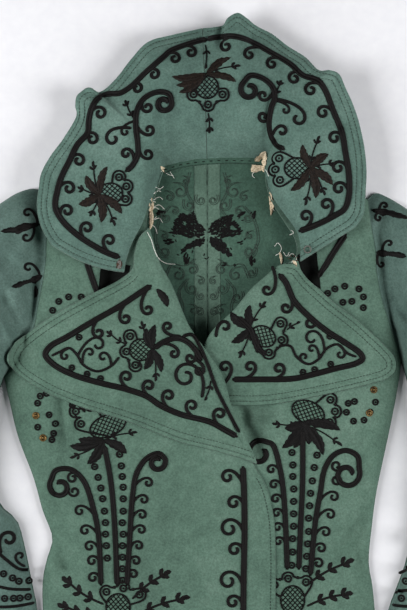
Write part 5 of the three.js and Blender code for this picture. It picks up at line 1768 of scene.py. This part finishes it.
# %% Couching stitches that show through
# Twisted silk in the cloth's own green, painted a little darker than the wool as painted shade of the
# groove it lies in.
THREAD_PAINTED_SHADE = speckled("green_silk_painted_groove_shade", 900.0, 2.0, (0.35, "#16211b"), (0.7, "#34463c"),
                  Roughness=0.55, Specular_IOR_Level=0.3)
COUCHED_COILS = (   # distance from the seam, y, radius and turn
    (30, 128, 9, 1), (20, 112, 7, -1), (42, 122, 6, 1), (16, 40, 7, 1), (17, 18, 7, -1), (32, 34, 8, 1),
    (34, 8, 7, -1), (15, -6, 6, 1), (48, 60, 8, -1), (24, 140, 5, 1), (46, 98, 6, -1), (18, -28, 6, 1),
    (30, -18, 7, -1), (7, 27, 5, 1), (7, 10, 5, -1), (8, -8, 5, 1), (7, 118, 6, -1), (36, 106, 5, 1),
    (48, 78, 5, 1), (50, 36, 6, -1))
COUCHED_STEMS = (((18, 150), (22, 130), (14, 110), (20, 100)), ((40, 112), (52, 96), (56, 70), (44, 52)),
                 ((12, 52), (24, 44), (38, 46), (46, 30)), ((20, 30), (30, 16), (26, -4), (34, -20)))
SEAM_X = 4.0   # the centre-back seam
FINE_LINE = dict(width=0.8, height=0.45, step=1.4)
trim = Trim(inside_back)
for mirror in (-1, 1):
    for dx, dy, radius, turn in COUCHED_COILS:
        centre = np.array([SEAM_X + mirror * dx, dy])
        for offset in (0, 2.2):
            coil = curl(centre, radius - offset, centre + [(radius - offset) * mirror, radius * 1.1],
                        turn * mirror, turns=1.3)
            trim.braid(coil, **FINE_LINE)
    for points in COUCHED_STEMS:
        route = routed([(SEAM_X + mirror * x, y) for x, y in points])
        for offset in (0, 2.4):
            trim.braid(route + [offset * mirror, 0], **FINE_LINE)
trim.made("back_couching_ridges", THREAD_PAINTED_SHADE, slot="thread")

# %% [markdown]
# Several close rows of stitching hold each turned edge flat. Seen from above, a row is a string of small
# bright dashes. A stitch is 2.6 mm long here with 1 mm between two, about 1.5 times the usual size.

# %% Rows of topstitching
THREAD_ARCH = np.array([-0.1, 0.3, 0.3, -0.1])    # a stitch dips at both ends, in millimetres


def stitched(name, cloth, routes, material, length=2.6, gap=1.0, width=0.75):
    """Short raised stitches along plan lines, each its own thread."""
    trim = Trim(cloth)
    for route in routes:
        path = resampled(route, 0.5)
        run = run_along(path)
        starts = np.arange(1, run[-1] - length, length + gap)
        for start in starts:
            at = np.linspace(start, start + length, 4)
            bit = read_at(path, run, at)
            way = bit[-1] - bit[0]
            way /= np.hypot(*way) + 1e-9
            side = np.array([-way[1], way[0]]) * width / 2
            ground = trim.cloth.height(*bit[[0, 3]].T)
            if not np.isfinite(ground).all():
                continue
            z = np.linspace(ground[0], ground[1], 4) + THREAD_ARCH
            thread = []
            for p, level in zip(bit, z):
                thread += [[*(p - side), level], [*p, level + 0.35], [*(p + side), level], [*p, level - 0.4]]
            thread = np.array(thread)
            i, j = np.arange(3)[:, None] * 4, np.arange(4)[None]
            faces = np.dstack([i + j, i + (j + 1) % 4, i + 4 + (j + 1) % 4, i + 4 + j]).reshape(-1, 4)
            faces = np.vstack([faces, [[3, 2, 1, 0], [12, 13, 14, 15]]])
            trim.add(thread, faces, thread[:, :2])
    return trim.made(name, material, slot="thread")


ROW_ENDS = {"rever_right": 34, "rever_left": 52}   # the rows of a rever stop below its notch
FOLD_START = -186   # and those of the closing edge start below the rever
for key, edge, inner_point in (
        ("collar_right", outline_of(collar_right), (-90, 150)),
        ("collar_left", outline_of(collar_left), (100, 170)),
        ("rever_right", outline_of(rever_right[:, len(TURN):]), (-60, -60)),
        ("rever_left", outline_of(rever_left[:, len(TURN):]), (90, -50))):
    routes = [inset(edge, row, inner_point) for row in STITCH_ROWS]
    if key in ROW_ENDS:
        routes = [route[route[:, 1] < ROW_ENDS[key]] for route in routes]
    stitched(key.replace("_", "_stitching_"), cloths[key], routes, THREAD_PAINTED_SHADE)
fold = front_right[:, -1, :2]
fold = fold[fold[:, 1] < FOLD_START]
stitched("closing_stitching", cloths["front_right"], [inset(fold, 5, (0, -300))], THREAD_PAINTED_SHADE)
stitched("neck_seam_stitching", Cloth(neck_grid), [neck_line + [0, -1]], SILK,
         length=3.2, gap=5.5, width=0.9)

# %% [markdown]
# Between the end of the collar and the rever lies deep shade under the lifted collar, and it is painted
# shadow here. A dark hole would do from above. A small black sheet laid on the front is as easy and holds
# from every side.

# %% Black sheets of painted shadow in the notches
NOTCHES = {"right": ("front_right", [(-114, 50), (-82, 44)], [(-118, 10), (-86, 26)]),
           "left": ("front_left", [(104, 56), (126, 62)], [(113, 30), (131, 18)])}
# A black sheet of painted shadow: almost no light comes back from the notch.
NOTCH_PAINTED_SHADOW = speckled("black_notch_painted_shadow", 800.0, 2.0, (0.35, "#040504"), (0.7, "#0c0f0d"),
                  Roughness=0.8, Specular_IOR_Level=0.1)
for side, (key, top, bottom) in NOTCHES.items():
    u, v = np.meshgrid(np.linspace(0, 1, 15), np.linspace(0, 1, 15))
    top, bottom = np.array(top, float), np.array(bottom, float)
    upper = top[0] + u[..., None] * (top[1] - top[0])
    lower = bottom[0] + u[..., None] * (bottom[1] - bottom[0])
    xy = upper + v[..., None] * (lower - upper)
    ground = cloths[key].height(xy[..., 0].ravel(), xy[..., 1].ravel()).reshape(u.shape)
    ground = np.where(np.isfinite(ground), ground, np.nanmedian(ground))
    panel(side + "_notch_painted_shadow", np.dstack([xy, ground + 0.7]), 0.6, 0.5, NOTCH_PAINTED_SHADOW)

# %% [markdown]
# ## Wear at the neck
#
# Cream linen interfacing has worked out of the neck seam in slivers, a white basting thread hangs
# loose, and the hook is sewn on with brown silk. They are small, but they say how old the jacket is.

# %% Frayed interfacing and basting thread
# Linen and cotton are matt and rough, and their twist shows as a fine speckle. The silk is close to them
# at this size, and differs in its brown.
YARN = dict(bump=(0.7, 0.3), Roughness=0.85)
INTERFACING = speckled("frayed_linen_interfacing", 650.0, 3.0, (0.35, "#a89478"), (0.65, "#d8cab0"), **YARN)
WHITE_COTTON = speckled("white_basting_cotton", 650.0, 3.0, (0.35, "#c9cbc4"), (0.65, "#ecebe4"), **YARN)
BROWN_SILK = speckled("brown_hook_silk", 650.0, 3.0, (0.35, "#2a1a12"), (0.65, "#5c4230"), **YARN)
SLIVERS = (((-60, 114), (-61, 84), 4.4), ((-58, 120), (-58, 106), 2.2), ((-48, 156), (-43, 149), 3.6),
           ((70, 172), (54, 150), 11.5), ((66, 166), (68, 150), 7), ((74, 127), (76, 101), 3.6),
           ((100, 50), (104, 43), 3.4), ((86, 60), (88, 46), 3.0))
neck_cloth = Cloth(collar_right, collar_left, front_right, front_left, rever_right, rever_left,
                   back_right, back_left)
scraps = Trim(neck_cloth)
for base, tip, width in SLIVERS:
    leaf(scraps, base, tip, width, teeth=4, height=1.5, bend=0.06)
scraps.made("neck_interfacing", INTERFACING, slot="interfacing")

# %% Loose ends of thread
LOOSE_ENDS = (
    ((-63, 82), (-58, 72), (-55, 62), (-50, 52), (-42, 47), (-31, 46)),
    ((-62, 92), (-55, 88), (-52, 80)), ((-61, 106), (-55, 110), (-50, 108)), ((-60, 118), (-54, 116)),
    ((-62, 99), (-56, 97), (-53, 100)), ((-45, 151), (-39, 147), (-34, 146)),
    ((63, 157), (70, 151), (73, 144)), ((76, 112), (80, 106)),
    ((80, 66), (84, 70), (88, 64), (85, 58), (81, 56)), ((90, 60), (94, 55), (97, 60)),
    ((98, 84), (101, 81), (97, 79)), ((-57, 118), (-50, 122), (-46, 119)),
    ((-57, 110), (-50, 113), (-44, 108)), ((-56, 124), (-51, 129), (-48, 128)),
    ((-54, 132), (-49, 131), (-45, 134)), ((-56, 96), (-50, 98), (-46, 93)),
    ((-48, 150), (-40, 152), (-33, 143)), ((60, 152), (55, 147), (58, 143)),
    ((96, 55), (100, 58), (104, 54), (103, 49), (98, 48)))
threads = Trim(neck_cloth)
for points in LOOSE_ENDS:
    threads.braid(routed(points, 0.6), width=0.75, height=0.5, step=1.0)
threads.made("loose_basting_threads", WHITE_COTTON, slot="thread")

# %% Stitches that hold the hook and the eye
HOOK_STITCHES, EYE_STITCHES = 6, 7
bars = Trim(neck_cloth)
for k in range(HOOK_STITCHES):
    x, y = -97 + 1.0 * k, 44 + 1.2 * (k % 4)
    bars.braid(np.array([(x, y - 3), (x + 0.8, y), (x + 0.4, y + 3.5)]), width=1.3, height=1.1, step=1.2)
for k in range(EYE_STITCHES):
    angle = 0.9 * k
    bars.braid(np.array([(101 + 2 * math.cos(angle), 52 + 2 * math.sin(angle)),
                         (101 + 5.5 * math.cos(angle + 0.4), 52 + 5.5 * math.sin(angle + 0.4))]),
               width=1.2, height=1.2, step=1.5)
bars.made("hook_and_eye_stitches", BROWN_SILK, slot="thread")

# %% [markdown]
# Four rings near the armholes hold a bead in place of a knot. A bead is the same dome, a little larger,
# and only its metal tells it from the thread round it.

# %% Brass beads in the ring clusters
# Brass that has gone brown: a dull warm metal with darker spots.
BRASS = speckled("tarnished_brass_bead", 900.0, 2.0, (0.4, "#7d6742"), (0.65, "#3a2a18"),
                 Metallic=1.0, Roughness=0.5)
for key, places in (("front_right", [(-188, -124), (-180, -149)]), ("front_left", [(191, -95), (186, -121)])):
    beads = Trim(cloths[key])
    for spot in places:
        beads.braid(circle(spot, 3.1), **RING_BRAID)
        knot(beads, spot, 2.0, 2.0)
    beads.made(key + "_brass_beads", BRASS, slot="brass")

# %% [markdown]
# ## Steel, floor, light and camera
#
# The hook and the eye are cold-drawn steel wire, dulled by age: a grey metal with small brown spots.
# They keep their solids. The jacket lies on white paper under two large soft lights, one each side,
# as for a copy stand, and the camera looks straight down.

# %% Old steel wire
# The grey metal is bright along the top of the wire, and small brown spots and pits break its highlight.
STEEL = speckled("tarnished_steel_wire", 600.0, 3.0, (0.45, "#d2d1cc"), (0.68, "#8a7a66"), bump=(0.3, 0.1),
                 Metallic=1.0, Roughness=0.32)
for name in ("neck_hook", "neck_eye"):
    solid = frame["nodes"][name]
    solid.data.materials.clear()
    solid.data.materials.append(STEEL)

# %% [markdown]
# Any plain surface would do for the floor. The photograph has a white sheet without a visible edge, so this
# is one wide square of paper, just below the jacket, and it takes the soft shadows.

# %% Paper floor
FLOOR_HALF, PAPER_LEVEL = 4.0, -0.0003     # metres
# Uncoated paper is nearly white and fully matt, and its fibre changes the tone only a little.
PAPER = speckled("white_backing_paper", 90.0, 5.0, (0.3, "#d9d9dd"), (0.7, "#dedee1"),
                 Roughness=0.9, Specular_IOR_Level=0.1)
floor_mesh = bpy.data.meshes.new("paper_floor")
floor_mesh.from_pydata([(x * FLOOR_HALF, y * FLOOR_HALF, PAPER_LEVEL)
                        for x, y in ((-1, -1), (1, -1), (1, 1), (-1, 1))], [], [(0, 1, 2, 3)])
floor_mesh.materials.append(PAPER)
floor = placed("paper_floor", floor_mesh)

# %% [markdown]
# Two soft boxes low at the sides, as on a copy stand, show the relief of the braid from both sides without
# hard shadows. The left one is a little stronger, as in the photograph, and the room adds almost nothing.

# %% Lights
def soft_light(name, location, size, power, aim=(0, 0.05, 0)):
    """A rectangular lamp aimed at the jacket: metres and watts."""
    data = bpy.data.lights.new(name, "AREA")
    data.shape, data.size, data.size_y, data.energy = "RECTANGLE", size[0], size[1], power
    lamp = placed(name, data)
    lamp.location = location
    lamp.rotation_euler = (Vector(aim) - Vector(location)).to_track_quat("-Z", "Y").to_euler()


soft_light("left_softbox", (-1.5, 0.0, 1.12), (0.9, 1.3), 45)
soft_light("right_softbox", (1.5, -0.1, 1.12), (0.9, 1.3), 39)
world = bpy.data.worlds.new("pale_room")
world.use_nodes = True
world.node_tree.nodes["Background"].inputs["Color"].default_value = linear("#f4f5f7")
world.node_tree.nodes["Background"].inputs["Strength"].default_value = 0.1
bpy.context.scene.world = world
bpy.context.scene.view_settings.view_transform = "Standard"
print("lamps:", [light.name for light in bpy.data.lights])

# %% [markdown]
# The camera could stand close and wide. A copy camera stands well back so that the sides don't lean, and
# its lens then follows from the scale: one pixel of the photograph is 1.12 mm on the cloth.

# %% Camera
PHOTO_HEIGHT = 610   # pixels
MM_PER_PIXEL = 1.12
STAND_HEIGHT, CLOTH_LEVEL = 2.4, 0.02   # metres
LONG_SIDE_SENSOR = 36   # millimetres
picture_height = PHOTO_HEIGHT * MM_PER_PIXEL * MM
camera_data = bpy.data.cameras.new("copy_stand_camera")
camera_data.sensor_width = LONG_SIDE_SENSOR
camera_data.lens = LONG_SIDE_SENSOR * STAND_HEIGHT / picture_height
camera = placed("copy_stand_camera", camera_data)
camera.location = (SHIFT[0] * MM, SHIFT[1] * MM, STAND_HEIGHT + CLOTH_LEVEL)
bpy.context.scene.camera = camera
print("lens in mm:", round(camera_data.lens, 1))
